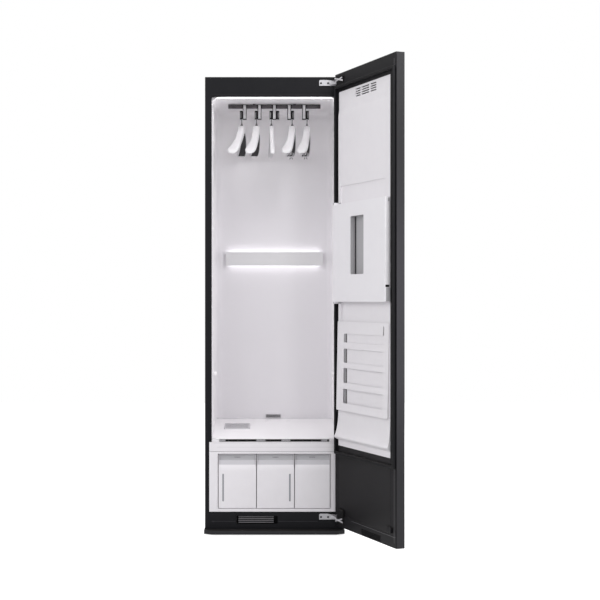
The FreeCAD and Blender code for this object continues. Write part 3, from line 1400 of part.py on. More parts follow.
def hinge_screws():
    """Countersunk-looking pan screws that hold the plates: a head and the shank through the plate."""
    screws = []
    for low in HINGES:
        for place in SCREW_PLACES[:2]:
            x, z = "hinge_plate_left + %d" % place, low + " + hinge_height / 2"
            face = FRONT + " - hinge_plate_thickness"
            head = rod("screw_head_%s_%d" % (low, place), "4.5", "1.8", (x, face + " - 1.8", z), "Y")
            shank = rod("screw_shank_%s_%d" % (low, place), "2", "hinge_plate_thickness + 1",
                        (x, face + " - 1", z), "Y")
            screws.append(join("screw_%s_%d" % (low, place), head, shank))
    return keep(group("screws", *screws), "hinge_screws")


# ---------------------------------------------------------------- build, check and write
def build_all():
    """Make every sub-part, from the casing to the hinges."""
    for make in (outer_casing, rear_panel, power_inlet, base_pan, levelling_feet, plinth, front_frame,
                 base_panel, intake_slats, chamber_liner, chamber_floor, floor_filter, air_grille, air_gutter,
                 ceiling_light, light_bar, shelf_pegs, shaker_bracket, shaker_motor, drive_crank, hanger_rail,
                 hook_straps, hook_cheeks, hangers, compressor, heat_exchangers, blower_housing, fan_motor,
                 fan_wheel, steam_generator, steam_hose, water_pump, control_board, module_frame, tank_bay,
                 tank_module, door_outer, door_insulation, door_frame, door_liner, door_gasket,
                 door_lower_panel, press_base, press_cover, press_latch, trouser_guide, hinge_cups,
                 hinge_plates, hinge_screws):
        make()


def check_and_write():
    """Stop on any failed object or bad shape, then write one file for each sub-part."""
    for thing in doc.Objects:
        if "Invalid" in thing.State or "Error" in thing.State:
            raise RuntimeError("%s is in state %s" % (thing.Name, thing.State))
    for part in PARTS:
        shape = part.Shape
        if shape.isNull() or not shape.isValid() or not shape.Solids:
            raise RuntimeError("%s has a bad shape" % part.Label)
    os.makedirs("parts", exist_ok=True)
    for part in PARTS:
        part.Shape.exportStep("parts/%s.step" % part.Label)
        print("%-20s %2d solid(s) %12.0f mm3" % (part.Label, len(part.Shape.Solids), part.Shape.Volume))


build_all()
doc.recompute()
check_and_write()
print(len(PARTS), "sub-parts")
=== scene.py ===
# %% [markdown]
# # A clothes care steam cabinet, finished in Blender
# The CAD part is the fixed frame: its sizes, its places and its moving bodies never change here.
# This lesson dresses it: rounded edges, moulded shapes, repeated details and finishes, one at a time.

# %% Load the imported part
import json
import math
import bmesh
import bpy
from mathutils import Matrix, Vector

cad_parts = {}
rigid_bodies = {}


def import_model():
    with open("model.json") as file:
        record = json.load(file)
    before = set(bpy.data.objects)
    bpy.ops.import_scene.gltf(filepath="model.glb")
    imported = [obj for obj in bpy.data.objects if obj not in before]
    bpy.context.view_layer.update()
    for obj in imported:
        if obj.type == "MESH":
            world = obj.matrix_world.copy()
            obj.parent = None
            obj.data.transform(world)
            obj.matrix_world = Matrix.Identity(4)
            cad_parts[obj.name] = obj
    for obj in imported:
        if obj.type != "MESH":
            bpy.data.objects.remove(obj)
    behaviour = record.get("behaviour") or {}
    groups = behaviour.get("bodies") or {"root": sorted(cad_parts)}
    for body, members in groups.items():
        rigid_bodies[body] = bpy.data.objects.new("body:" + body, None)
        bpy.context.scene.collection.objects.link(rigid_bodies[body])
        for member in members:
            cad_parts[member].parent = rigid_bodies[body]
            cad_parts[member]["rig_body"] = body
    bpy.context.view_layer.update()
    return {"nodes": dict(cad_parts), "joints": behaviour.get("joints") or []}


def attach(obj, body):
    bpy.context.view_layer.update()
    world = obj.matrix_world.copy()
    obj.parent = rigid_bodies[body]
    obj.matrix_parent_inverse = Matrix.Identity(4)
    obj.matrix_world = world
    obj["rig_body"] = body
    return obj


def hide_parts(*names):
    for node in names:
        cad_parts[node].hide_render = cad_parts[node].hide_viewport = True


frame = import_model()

NODES = frame["nodes"]
MM = 0.001

# %% [markdown]
# ## Camera
# The cabinet is seen straight on, a little right of its middle, from about six metres. A long lens keeps
# the sides parallel, and a small shift moves the picture without tilting the camera.

# %% Camera
CAMERA_PLACE = (0.0, -6.0595, 1.006)
LENS = 81.1
SENSOR = 36
SHIFT = (0.0427, -0.0018)

scene = bpy.context.scene
camera_data = bpy.data.cameras.new("camera")
camera = bpy.data.objects.new("camera", camera_data)
scene.collection.objects.link(camera)
camera.location = CAMERA_PLACE
camera.rotation_euler = (math.pi / 2, 0, 0)
camera_data.lens = LENS
camera_data.sensor_width = SENSOR
camera_data.shift_x, camera_data.shift_y = SHIFT
scene.camera = camera
scene.view_settings.view_transform = "Standard"
print("camera at", tuple(camera.location), "lens", camera_data.lens)

# %% [markdown]
# ## Studio
# A pale floor carries the cabinet. The world is white to the camera and to reflections, and a softer
# grey to everything else, so the background stays white while the lamps set the level on the object.

# %% Colour and node helpers
def tone(red, green, blue):
    """A screen colour, 0 to 255, as the linear colour that a shader wants."""
    def linear(value):
        share = value / 255
        return share / 12.92 if share <= 0.04045 else ((share + 0.055) / 1.055) ** 2.4
    return (linear(red), linear(green), linear(blue), 1.0)


def node(tree, kind, values=(), **settings):
    """A new node with some of its settings, then some values on its inputs."""
    made = tree.nodes.new(kind)
    for key, value in settings.items():
        setattr(made, key, value)
    for key, value in dict(values).items():
        made.inputs[key].default_value = value
    return made


def wire(tree, *links):
    """Join sockets; each link is a node, its output, the next node and its input."""
    for giver, output, taker, wanted in links:
        tree.links.new(giver.outputs[output], taker.inputs[wanted])


def math_node(tree, operation, *operands):
    """A math node; an operand is a number, a node or a (node, output) pair."""
    made = node(tree, "ShaderNodeMath", operation=operation)
    for index, value in enumerate(operands):
        if isinstance(value, (int, float)):
            made.inputs[index].default_value = value
        else:
            giver, output = value if isinstance(value, tuple) else (value, 0)
            wire(tree, (giver, output, made, index))
    return made


print("white plastic as linear colour", [round(c, 3) for c in tone(212, 209, 213)])

# %% World
WORLD_GREY = 0.64

world = bpy.data.worlds.new("studio")
scene.world = world
world.use_nodes = True
tree = world.node_tree
tree.nodes.clear()
rays = node(tree, "ShaderNodeLightPath")
soft = node(tree, "ShaderNodeBackground", {"Color": (WORLD_GREY, WORLD_GREY, WORLD_GREY * 1.01, 1)})
white = node(tree, "ShaderNodeBackground", {"Color": (1, 1, 1, 1)})
pick = node(tree, "ShaderNodeMixShader")
out = node(tree, "ShaderNodeOutputWorld")
shown = math_node(tree, "MAXIMUM", (rays, "Is Camera Ray"), (rays, "Is Glossy Ray"))
shown = math_node(tree, "MAXIMUM", shown, (rays, "Is Transmission Ray"))
wire(tree, (shown, 0, pick, 0), (soft, 0, pick, 1), (white, 0, pick, 2), (pick, 0, out, 0))
print("world: soft grey", WORLD_GREY, "for bounced light, white to the camera")

# %% Floor and lamps
FLOOR_SIZE = 14.0
FLOOR_GREY = 0.62
FLOOR_GLOW = 0.80

bpy.ops.mesh.primitive_plane_add(size=FLOOR_SIZE, location=(0, 0, 0))
floor = bpy.context.object
floor.name = "studio_floor"
floor_finish = bpy.data.materials.new("studio_floor")
floor_finish.use_nodes = True
tree = floor_finish.node_tree
tree.nodes.clear()
rays = node(tree, "ShaderNodeLightPath")
matt = node(tree, "ShaderNodeBsdfDiffuse", {"Color": (FLOOR_GREY, FLOOR_GREY, FLOOR_GREY, 1)})
glow = node(tree, "ShaderNodeEmission", {"Strength": FLOOR_GLOW})
both = node(tree, "ShaderNodeAddShader")
pick = node(tree, "ShaderNodeMixShader")
out = node(tree, "ShaderNodeOutputMaterial")
seen = math_node(tree, "MAXIMUM", (rays, "Is Camera Ray"), (rays, "Is Glossy Ray"))
wire(tree, (matt, 0, both, 0), (glow, 0, both, 1), (seen, 0, pick, 0), (matt, 0, pick, 1), (both, 0, pick, 2),
     (pick, 0, out, 0))
floor.data.materials.append(floor_finish)

LAMPS = (("key", (-1.9, -4.2, 3.2), (0, 0, 1.0), 2.2, 60),
         ("fill", (2.6, -4.4, 2.0), (0.2, 0, 1.0), 2.6, 43),
         ("wash", (0.95, -1.8, 2.4), (-0.25, 0, 1.0), 0.8, 20),
         ("top", (0.4, 0.6, 4.4), (0, 0, 1.0), 2.6, 45),
         ("rim", (1.5, 4.0, 2.4), (0, 0, 1.0), 2.4, 45))
for name, place, aim, size, power in LAMPS:
    data = bpy.data.lights.new(name, "AREA")
    data.size = size
    data.energy = power
    lamp = bpy.data.objects.new(name, data)
    scene.collection.objects.link(lamp)
    lamp.location = place
    lamp.rotation_euler = (Vector(aim) - Vector(place)).to_track_quat("-Z", "Y").to_euler()
print("floor and", len(LAMPS), "soft lamps")

# %% [markdown]
# ## Shared effects
# Real moulded and painted surfaces are never one flat value. Three small node groups are built once and
# placed in every finish: a fine grain, a brighter worn edge and a film of dust on what faces up.

# %% Node group helpers
GREY = (0.5, 0.5, 0.5, 1)


def effect(name, wanted, given):
    """A new shader node group: its inputs with their values, and the names of its outputs."""
    group = bpy.data.node_groups.new(name, "ShaderNodeTree")
    for label, value in wanted.items():
        kind = "NodeSocketFloat" if isinstance(value, float) else "NodeSocketColor"
        group.interface.new_socket(label, in_out="INPUT", socket_type=kind).default_value = value
    for label in given:
        kind = "NodeSocketColor" if label == "Colour" else "NodeSocketFloat"
        group.interface.new_socket(label, in_out="OUTPUT", socket_type=kind)
    return group, node(group, "NodeGroupInput"), node(group, "NodeGroupOutput")


def laid_over(tree, mask, label, wanted, given):
    """Mix the colour of that label over the first one, by a mask and the group's amount."""
    mask = math_node(tree, "MULTIPLY", mask, (wanted, "Amount"))
    blend = node(tree, "ShaderNodeMix", data_type="RGBA")
    wire(tree, (mask, 0, blend, "Factor"), (wanted, "Colour", blend, "A"), (wanted, label, blend, "B"),
         (blend, "Result", given, "Colour"), (mask, 0, given, "Mask"))


print("helpers ready")

# %% Fine grain
fine_grain, wanted, given = effect(
    "fine_grain", {"Colour": GREY, "Roughness": 0.4, "Grain": 500.0, "Drift": 0.03, "Rough Drift": 0.05},
    ("Colour", "Roughness", "Height"))
place = node(fine_grain, "ShaderNodeTexCoord")
fine = node(fine_grain, "ShaderNodeTexNoise", {"Detail": 3})
broad = node(fine_grain, "ShaderNodeTexNoise", {"Scale": 3.5, "Detail": 4})
tint = node(fine_grain, "ShaderNodeHueSaturation")
swing = math_node(fine_grain, "SUBTRACT", (broad, "Fac"), 0.5)
fleck = math_node(fine_grain, "SUBTRACT", (fine, "Fac"), 0.5)
value = math_node(fine_grain, "ADD", math_node(fine_grain, "MULTIPLY", swing, (wanted, "Drift")), 1.0)
both = math_node(fine_grain, "ADD", swing, fleck)
rough = math_node(fine_grain, "ADD", math_node(fine_grain, "MULTIPLY", both, (wanted, "Rough Drift")),
                  (wanted, "Roughness"))
wire(fine_grain, (place, "Object", fine, "Vector"), (place, "Object", broad, "Vector"),
     (wanted, "Grain", fine, "Scale"), (wanted, "Colour", tint, "Color"), (value, 0, tint, "Value"),
     (tint, 0, given, "Colour"), (rough, 0, given, "Roughness"), (fine, "Fac", given, "Height"))
print("fine_grain:", len(fine_grain.nodes), "nodes")

# %% Worn edge
worn_edge, wanted, given = effect(
    "worn_edge", {"Colour": GREY, "Edge Colour": GREY, "Amount": 0.2}, ("Colour", "Mask"))
edge = node(worn_edge, "ShaderNodeAttribute", attribute_name="edge")
place = node(worn_edge, "ShaderNodeTexCoord")
patchy = node(worn_edge, "ShaderNodeTexNoise", {"Scale": 28})
wire(worn_edge, (place, "Object", patchy, "Vector"))
mask = math_node(worn_edge, "MULTIPLY", (edge, "Fac"), (patchy, "Fac"))
laid_over(worn_edge, mask, "Edge Colour", wanted, given)
print("worn_edge reads the attribute named edge")

# %% Dust film
dust_film, wanted, given = effect(
    "dust_film", {"Colour": GREY, "Dust": tone(170, 166, 160), "Amount": 0.15}, ("Colour", "Mask"))
facing = node(dust_film, "ShaderNodeNewGeometry")
split = node(dust_film, "ShaderNodeSeparateXYZ")
place = node(dust_film, "ShaderNodeTexCoord")
cloud = node(dust_film, "ShaderNodeTexNoise", {"Scale": 14, "Detail": 5})
wire(dust_film, (facing, "Normal", split, 0), (place, "Object", cloud, "Vector"))
upward = math_node(dust_film, "MAXIMUM", (split, "Z"), 0.0)
laid_over(dust_film, math_node(dust_film, "MULTIPLY", upward, (cloud, "Fac")), "Dust", wanted, given)
print("dust_film settles on faces that look up")

# %% [markdown]
# ## Finishes
# Every finish runs its colour through the grain, the edge and the dust, then into one Principled shader.
# What is the same all over, such as the coat or the specular level, sits on the shader's own socket.

# %% Finish maker
COAT_ROUGHNESS = 0.12
EDGE_GAIN, EDGE_LIFT = 1.35, 0.01
RELIEF_DEPTH = 0.0004
FINISHES = {}


def finish(name, colour, rough, grain=500.0, bump=0.06, drift=0.03, rough_drift=0.06, metal=0.0, coat=0.0,
           specular=0.5, edge=0.15, dust=0.06):
    """A material made of one shader and the three shared effects; returns its node tree."""
    made = bpy.data.materials.new(name)
    made.use_nodes = True
    tree = made.node_tree
    shader = tree.nodes["Principled BSDF"]
    for label, value in (("Metallic", metal), ("Coat Weight", coat), ("Coat Roughness", COAT_ROUGHNESS),
                         ("Specular IOR Level", specular)):
        shader.inputs[label].default_value = value
    bright = tuple(min(1, c * EDGE_GAIN + EDGE_LIFT) for c in colour[:3]) + (1,)
    grained = node(tree, "ShaderNodeGroup", {"Colour": colour, "Roughness": rough, "Grain": grain,
                                             "Drift": drift, "Rough Drift": rough_drift}, node_tree=fine_grain)
    worn = node(tree, "ShaderNodeGroup", {"Amount": edge, "Edge Colour": bright}, node_tree=worn_edge)
    dusty = node(tree, "ShaderNodeGroup", {"Amount": dust}, node_tree=dust_film)
    relief = node(tree, "ShaderNodeBump", {"Strength": bump, "Distance": RELIEF_DEPTH})
    wire(tree, (grained, "Colour", worn, "Colour"), (worn, "Colour", dusty, "Colour"),
         (dusty, "Colour", shader, "Base Color"), (grained, "Roughness", shader, "Roughness"),
         (grained, "Height", relief, "Height"), (relief, "Normal", shader, "Normal"))
    FINISHES[name] = made
    return tree


# %% Plastics, paints and metals
# The columns: name, screen colour, roughness, scale of the grain, depth of the grain, anything else.
FINISH_TABLE = (
    ("black_paint", (10, 9, 12), 0.5, 900, 0.10, dict(edge=0.25, dust=0.10, specular=0.14)),
    ("black_satin", (13, 13, 17), 0.5, 1200, 0.06, dict(edge=0.2, specular=0.12)),
    ("black_border", (16, 15, 18), 0.55, 1000, 0.05, dict(specular=0.12)),
    ("charcoal_edge", (52, 50, 54), 0.5, 900, 0.05, dict(specular=0.25)),
    ("dark_panel", (10, 8, 11), 0.5, 800, 0.08, dict(specular=0.14)),
    ("chamber_white", (252, 250, 252), 0.5, 700, 0.04, dict(specular=0.35)),
    ("drawer_white", (219, 216, 220), 0.36, 900, 0.04, dict(coat=0.1)),
    ("door_white", (233, 230, 234), 0.52, 700, 0.04, dict(specular=0.35)),
    ("press_white", (238, 236, 240), 0.32, 800, 0.03, dict(coat=0.15)),
    ("hanger_white", (214, 212, 215), 0.36, 600, 0.03, dict(coat=0.06)),
    # painted shade for the hollow under a hanger
    ("hanger_back", (40, 38, 42), 0.5, 600, 0.06, {}),
    ("strap_grey", (168, 167, 170), 0.4, 900, 0.05, {}),
    ("dark_plastic", (38, 36, 38), 0.45, 900, 0.06, {}),
    ("rail_metal", (60, 57, 60), 0.45, 1200, 0.04, dict(specular=0.25)),
    ("clip_black", (13, 12, 13), 0.6, 900, 0.06, dict(specular=0.12)),
    ("wire_metal", (96, 94, 97), 0.4, 1200, 0.03, dict(metal=0.5)),
    ("galvanised", (160, 163, 166), 0.42, 90, 0.05, dict(drift=0.25, rough_drift=0.2, metal=0.85)),
    ("steel", (176, 175, 178), 0.26, 1500, 0.04, dict(drift=0.06, metal=0.9, edge=0.3)),
    ("seal_rubber", (20, 20, 22), 0.7, 800, 0.15, dict(dust=0.08, specular=0.15)),
    ("foot_plastic", (30, 30, 32), 0.6, 700, 0.1, {}),
    ("can_black", (24, 24, 26), 0.3, 500, 0.08, dict(coat=0.3)),
    ("fin_aluminium", (190, 192, 195), 0.35, 900, 0.05, dict(metal=0.9)),
    ("inner_grey", (150, 150, 152), 0.5, 500, 0.08, {}),
    ("motor_metal", (120, 122, 126), 0.4, 700, 0.06, dict(metal=0.7)),
    ("board_green", (30, 84, 52), 0.45, 400, 0.1, {}),
    ("foam", (222, 205, 160), 0.85, 260, 0.5, dict(drift=0.12)),
    ("bar_grey", (214, 213, 215), 0.4, 700, 0.04, {}),
    # the next two greys are also painted shade on the drawer scoop
    ("band_grey", (170, 169, 173), 0.45, 900, 0.04, {}),
    ("slope_grey", (190, 188, 193), 0.4, 900, 0.04, {}),
    ("seam_grey", (184, 182, 186), 0.5, 900, 0.04, {}),
    ("level_grey", (148, 150, 156), 0.2, 600, 0.03, dict(coat=0.3)),
    ("deep_black", (3, 3, 4), 0.85, 900, 0.05, dict(specular=0.04)),
    ("hinge_metal", (172, 171, 175), 0.42, 400, 0.12, dict(drift=0.12, metal=0.2)),
    ("link_metal", (208, 206, 210), 0.35, 900, 0.05, dict(metal=0.25)),
    ("slat_grey", (122, 120, 124), 0.5, 900, 0.05, dict(specular=0.25)),
    ("plinth_black", (30, 30, 33), 0.5, 900, 0.08, dict(specular=0.2)),
    ("slot_grey", (120, 118, 121), 0.5, 700, 0.05, {}),
    ("felt_grey", (176, 174, 178), 0.9, 260, 0.4, dict(specular=0.1)),
    ("grille_grey", (214, 212, 216), 0.45, 700, 0.05, {}),
    ("tank_clear_grey", (186, 189, 194), 0.25, 600, 0.03, dict(coat=0.2)),
    ("line_dark", (84, 82, 86), 0.5, 900, 0.04, {}),
    ("filter_grey", (204, 202, 206), 0.45, 800, 0.04, {}),
    # painted light: a lighter copy of the black paint for the door's end face, which faces the lamps
    ("door_edge", (56, 55, 59), 0.5, 900, 0.05, dict(specular=0.2)))

for name, colour, rough, grain, bump, more in FINISH_TABLE:
    finish(name, tone(*colour), rough, grain, bump, **more)
print(len(FINISHES), "finishes")


# %% Painted shade along an axis
FADE_ABOVE = 0.45


def object_axes(tree):
    """A node that gives x, y and z in the object's own metres."""
    place, split = node(tree, "ShaderNodeTexCoord"), node(tree, "ShaderNodeSeparateXYZ")
    wire(tree, (place, "Object", split, 0))
    return split


def smooth_range(tree, giver, output, start, stop, low=0.0):
    """A value that goes smoothly from low at start to 1 at stop."""
    made = node(tree, "ShaderNodeMapRange", {"From Min": start, "From Max": stop, "To Min": low},
                interpolation_type="SMOOTHSTEP")
    wire(tree, (giver, output, made, "Value"))
    return made


def painted_shade_along(name, axis, start, stop, colour, full_below=None):
    """Paint shade: multiply a finish's colour by another one along one axis of the object, less so above a
    height.
    """
    tree = FINISHES[name].node_tree
    base = tree.nodes["Principled BSDF"].inputs["Base Color"]
    before = base.links[0].from_socket
    split = object_axes(tree)
    amount = smooth_range(tree, split, axis, start, stop)
    if full_below:
        low = smooth_range(tree, split, "Z", full_below + FADE_ABOVE, full_below)
        amount = math_node(tree, "MULTIPLY", amount, low)
    mix = node(tree, "ShaderNodeMix", {"B": colour + (1,)}, data_type="RGBA", blend_type="MULTIPLY")
    wire(tree, (amount, 0, mix, "Factor"))
    tree.links.new(before, mix.inputs["A"])
    tree.links.new(mix.outputs["Result"], base)


# Painted shade: the chamber's back wall is darkened below about 1.4 m, so it reads as less lit than the sides.
painted_shade_along("chamber_white", "Y", 0.185, 0.214, (0.77, 0.765, 0.78), 1.4)
# Painted shade on the door's end face: darker towards its foot and, more, towards its top.
painted_shade_along("door_edge", "Z", 0.75, 0.3, (0.5, 0.5, 0.5))
painted_shade_along("door_edge", "Z", 1.0, 1.7, (0.3, 0.3, 0.3))
print("back wall a little darker than the sides")

# %% [markdown]
# ## Glowing finishes
# The ceiling strip and the two lenses of the light bar glow. Their brightness drifts a little along their
# length, as light-guides do, through a noise that feeds the emission colour. The strip throws most of its
# light from its back edge, into the chamber.

# %% Glowing finishes
STRIP_GLOW, CEILING_GLOW, BAR_GLOW = 3.0, 30.0, 2.5
END_GLOW = 0.3


def glowing(name, colour, strength, half, fade):
    """A white lens that gives light, a little uneven along its length and weaker towards its ends."""
    tree = finish(name, colour, 0.4, grain=300, bump=0.05, edge=0.0, dust=0.0)
    shader = tree.nodes["Principled BSDF"]
    place = node(tree, "ShaderNodeTexCoord")
    uneven = node(tree, "ShaderNodeTexNoise", {"Scale": 6})
    ramp = node(tree, "ShaderNodeValToRGB")
    ramp.color_ramp.elements[0].color = tuple(c * 0.92 for c in colour[:3]) + (1,)
    ramp.color_ramp.elements[1].color = colour
    away = math_node(tree, "ABSOLUTE", (object_axes(tree), "X"))
    ends = smooth_range(tree, away, 0, half, half - fade, END_GLOW)
    power = math_node(tree, "MULTIPLY", ends, strength)
    wire(tree, (place, "Object", uneven, "Vector"), (uneven, "Fac", ramp, 0),
         (ramp, 0, shader, "Emission Color"), (power, 0, shader, "Emission Strength"))


glowing("strip_glow", tone(252, 251, 252), STRIP_GLOW, 0.262, 0.06)
glowing("ceiling_glow", tone(252, 251, 252), CEILING_GLOW, 0.262, 0.06)
glowing("bar_glow", tone(250, 249, 251), BAR_GLOW, 0.222, 0.03)
print("glowing finishes:", STRIP_GLOW, CEILING_GLOW, BAR_GLOW)

# %% [markdown]
# ## Rounded copies of the CAD pieces
# A sheet or a moulding has no razor edge. Each visible CAD node is copied, the doubled corners of its
# triangles are merged, and a bevel rounds its edges, so that light runs along them. The copy stands for it.

# %% Bake and place helpers
WEIGHTED = ("WEIGHTED_NORMAL", dict(weight=100, keep_sharp=True))


def joined(meshes):
    """Several meshes as one."""
    work = bmesh.new()
    for mesh in meshes:
        work.from_mesh(mesh)
    whole = bpy.data.meshes.new("joined")
    work.to_mesh(whole)
    work.free()
    return whole


def add_piece(name, mesh, body, skin, replaces=()):
    """A finished piece at the origin that rides on a body. A list of meshes is joined first."""
    mesh = joined(mesh) if isinstance(mesh, list) else mesh
    mesh.name = name
    piece = bpy.data.objects.new(name, mesh)
    scene.collection.objects.link(piece)
    skins = skin if isinstance(skin, list) else [skin]
    shares = [face.material_index if len(skins) > 1 else 0 for face in mesh.polygons]
    mesh.materials.clear()
    for one in skins:
        mesh.materials.append(FINISHES[one])
    mesh.polygons.foreach_set("material_index", shares)
    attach(piece, body)
    if replaces:
        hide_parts(*replaces)
    return piece


def real_mesh(thing):
    """What an object looks like after its modifiers, as a mesh; the object is removed."""
    graph = bpy.context.evaluated_depsgraph_get()
    result = bpy.data.meshes.new_from_object(thing.evaluated_get(graph), depsgraph=graph)
    bpy.data.objects.remove(thing)
    return result


def helper(mesh):
    """An object that is only there while other meshes are made."""
    made = bpy.data.objects.new("helper", mesh)
    scene.collection.objects.link(made)
    return made


def baked(mesh, modifiers):
    """The mesh after some modifiers, each a (kind, settings) pair."""
    worker = helper(mesh)
    for kind, settings in modifiers:
        modifier = worker.modifiers.new(kind, kind)
        for key, value in settings.items():
            setattr(modifier, key, value)
    return real_mesh(worker)


def cleaned(mesh):
    """Merge doubled corners and cut every face into triangles, so that no face has a hole in it."""
    work = bmesh.new()
    work.from_mesh(mesh)
    bmesh.ops.remove_doubles(work, verts=work.verts, dist=2e-6)
    bmesh.ops.triangulate(work, faces=work.faces)
    bmesh.ops.recalc_face_normals(work, faces=work.faces)
    work.to_mesh(mesh)
    work.free()
    return mesh


def cad_copy(cad_node):
    """A clean copy of a CAD node's mesh."""
    return cleaned(NODES[cad_node].data.copy())


def mark_edges(mesh, width):
    """Write the attribute edge: 1 on the narrow faces that a bevel made, 0 elsewhere."""
    narrow = set()
    for face in mesh.polygons:
        longest = max((mesh.vertices[a].co - mesh.vertices[b].co).length for a, b in face.edge_keys)
        if face.area < 1.2 * width * longest:
            narrow.update(face.vertices)
    attribute = mesh.attributes.new("edge", "FLOAT", "POINT")
    attribute.data.foreach_set("value", [float(index in narrow) for index in range(len(mesh.vertices))])
    return mesh


def smooth(mesh, degrees=40):
    """Smooth shading with sharp edges above an angle."""
    mesh.shade_smooth()
    mesh.set_sharp_from_angle(angle=math.radians(degrees))
    return mesh


def rounded(mesh, width, segments=2, limit=30):
    """The mesh with its edges rounded, its flat faces flat to the light and its outer limits kept."""
    mesh.shade_smooth()
    bevel = dict(width=width * MM, segments=segments, limit_method="ANGLE", angle_limit=math.radians(limit),
                 use_clamp_overlap=True)
    low = [min(corner.co[axis] for corner in mesh.vertices) for axis in range(3)]
    high = [max(corner.co[axis] for corner in mesh.vertices) for axis in range(3)]
    result = baked(mesh, [("BEVEL", bevel), WEIGHTED])
    for corner in result.vertices:
        corner.co = [min(high[axis], max(low[axis], corner.co[axis])) for axis in range(3)]
    return mark_edges(result, width * MM)


def painted(mesh, test, index=1):
    """Give the faces that pass a test another of the piece's finishes."""
    for face in mesh.polygons:
        if test(face):
            face.material_index = index
    return mesh


def dressed(cad_node, width, skin):
    """A rounded copy of a CAD node, which stands for it."""
    mesh = cad_copy(cad_node)
    mesh = rounded(mesh, width) if width else baked(smooth(mesh, 32), [WEIGHTED])
    return add_piece(cad_node + "_skin", mesh, NODES[cad_node]["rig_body"], skin, [cad_node])


# %% Casing, frame and base
for cad_node, width, skin, slot in (
        ("outer_casing", 0.8, "black_paint", "black_steel"),
        ("base_pan", 0.5, "galvanised", "galvanised"),
        ("power_inlet", 0.4, "dark_plastic", "dark_plastic"),
        ("levelling_feet", 1.0, "foot_plastic", "foot_plastic"),
        ("front_frame", 0.8, "black_satin", "frame_black"),
        ("base_panel", 0.6, "black_satin", "frame_black"),
        ("module_frame", 0.5, "drawer_white", "white_plastic")):
    piece = dressed(cad_node, width, skin)
print("last piece", piece.name, "with", len(piece.data.polygons), "faces")

# %% Chamber pieces
for cad_node, width, skin, slot in (
        ("chamber_liner", 0, "chamber_white", "white_plastic"),
        ("chamber_floor", 1.0, "chamber_white", "white_plastic"),
        ("air_gutter", 0.4, "dark_plastic", "dark_plastic"),
        ("shelf_pegs", 1.5, "chamber_white", "white_plastic"),
        ("air_grille", 0.3, "grille_grey", "white_plastic")):
    piece = dressed(cad_node, width, skin)
print("last piece", piece.name)

# %% Door pieces
for cad_node, width, skin, slot in (
        ("door_frame", 0.8, "black_border", "frame_black"),
        ("door_lower_panel", 0.5, "dark_panel", "frame_black"),
        ("door_gasket", 2.5, "seal_rubber", "seal_rubber"),
        ("press_latch", 1.2, "strap_grey", "strap_grey"),
        ("hinge_cups", 0.6, "steel", "steel")):
    piece = dressed(cad_node, width, skin)
DOOR_ALONG, DOOR_FACE = Vector((0.3557, -0.9346, 0)), Vector((-0.9346, -0.3557, 0))
# The door's end face takes the lighter black as painted light; the press base's face towards the chamber takes
# the grey.
for cad_node, facing, skins, slot in (
        ("door_outer", DOOR_ALONG, ["black_paint", "door_edge"], "black_steel"),
        ("press_base", DOOR_FACE, ["press_white", "strap_grey"], "white_plastic")):
    mesh = rounded(cad_copy(cad_node), 0.8)
    painted(mesh, lambda face: face.normal.dot(facing) > 0.9)
    add_piece(cad_node + "_skin", mesh, "door", skins, [cad_node])
print("last piece", cad_node)

# %% Finishes of the pieces that keep their CAD shape
PLAIN = {
    "shaker_bracket": "steel", "shaker_motor": "motor_metal", "drive_crank": "steel",
    "compressor": "can_black", "heat_exchangers": "fin_aluminium", "blower_housing": "inner_grey",
    "fan_motor": "motor_metal", "fan_wheel": "dark_plastic", "steam_generator": "motor_metal",
    "steam_hose": "seal_rubber", "water_pump": "inner_grey", "control_board": "board_green",
    "tank_bay": "inner_grey", "supply_tank": "tank_clear_grey", "drain_tank": "tank_clear_grey",
    "filter_tray": "tank_clear_grey", "door_insulation": "foam"}
for cad_node, skin in PLAIN.items():
    slots = NODES[cad_node].material_slots
    if not slots:
        NODES[cad_node].data.materials.append(FINISHES[skin])
    for slot in slots:
        slot.material = FINISHES[skin]
print(len(PLAIN), "CAD nodes keep their shape")

# %% [markdown]
# ## Working on the door
# The door stands open at an angle, so its pieces are drawn where drawing is easy: x runs along the door
# from the hinge corner, y out through the door and z up. One matrix then turns a finished mesh about the
# hinge pin to where the door really is.

# %% Door axes and mesh makers
DOOR_JOINT = next(joint for joint in frame["joints"] if joint["name"] == "door_swing")
DOOR_HEADING = math.radians(180 + DOOR_JOINT["range_deg"][1])
PIN_IN_DOOR = Vector((14.3, 19.5, 0)) * MM
DOOR_TURN = Matrix.Rotation(DOOR_HEADING, 4, "Z")
PIN = Vector((DOOR_JOINT["pos_m"][0], DOOR_JOINT["pos_m"][1], 0))
TO_DOOR = Matrix.Translation(PIN - DOOR_TURN @ PIN_IN_DOOR) @ DOOR_TURN


def add_to_door(name, mesh, skin, replaces=(), body="door"):
    """Turn a piece from the door's own axes to where the open door stands, and add it."""
    mesh = joined(mesh) if isinstance(mesh, list) else mesh
    mesh.transform(TO_DOOR)
    return add_piece(name, mesh, body, skin, replaces)


def from_work(work):
    """A mesh from a bmesh drawn in millimetres."""
    bmesh.ops.remove_doubles(work, verts=work.verts, dist=0.001)
    bmesh.ops.recalc_face_normals(work, faces=work.faces)
    bmesh.ops.scale(work, vec=(MM, MM, MM), verts=work.verts)
    mesh = bpy.data.meshes.new("drawn")
    work.to_mesh(mesh)
    work.free()
    return mesh


def round_rectangle(left, right, low, high, radius, steps=5):
    """The corners of an upright rectangle with round corners, as (x, z) pairs."""
    points = []
    for cx, cz, start in ((right - radius, high - radius, 0), (left + radius, high - radius, 90),
                          (left + radius, low + radius, 180), (right - radius, low + radius, 270)):
        for step in range(steps + 1):
            turn = math.radians(start + 90 * step / steps)
            points.append((cx + radius * math.cos(turn), cz + radius * math.sin(turn)))
    return points


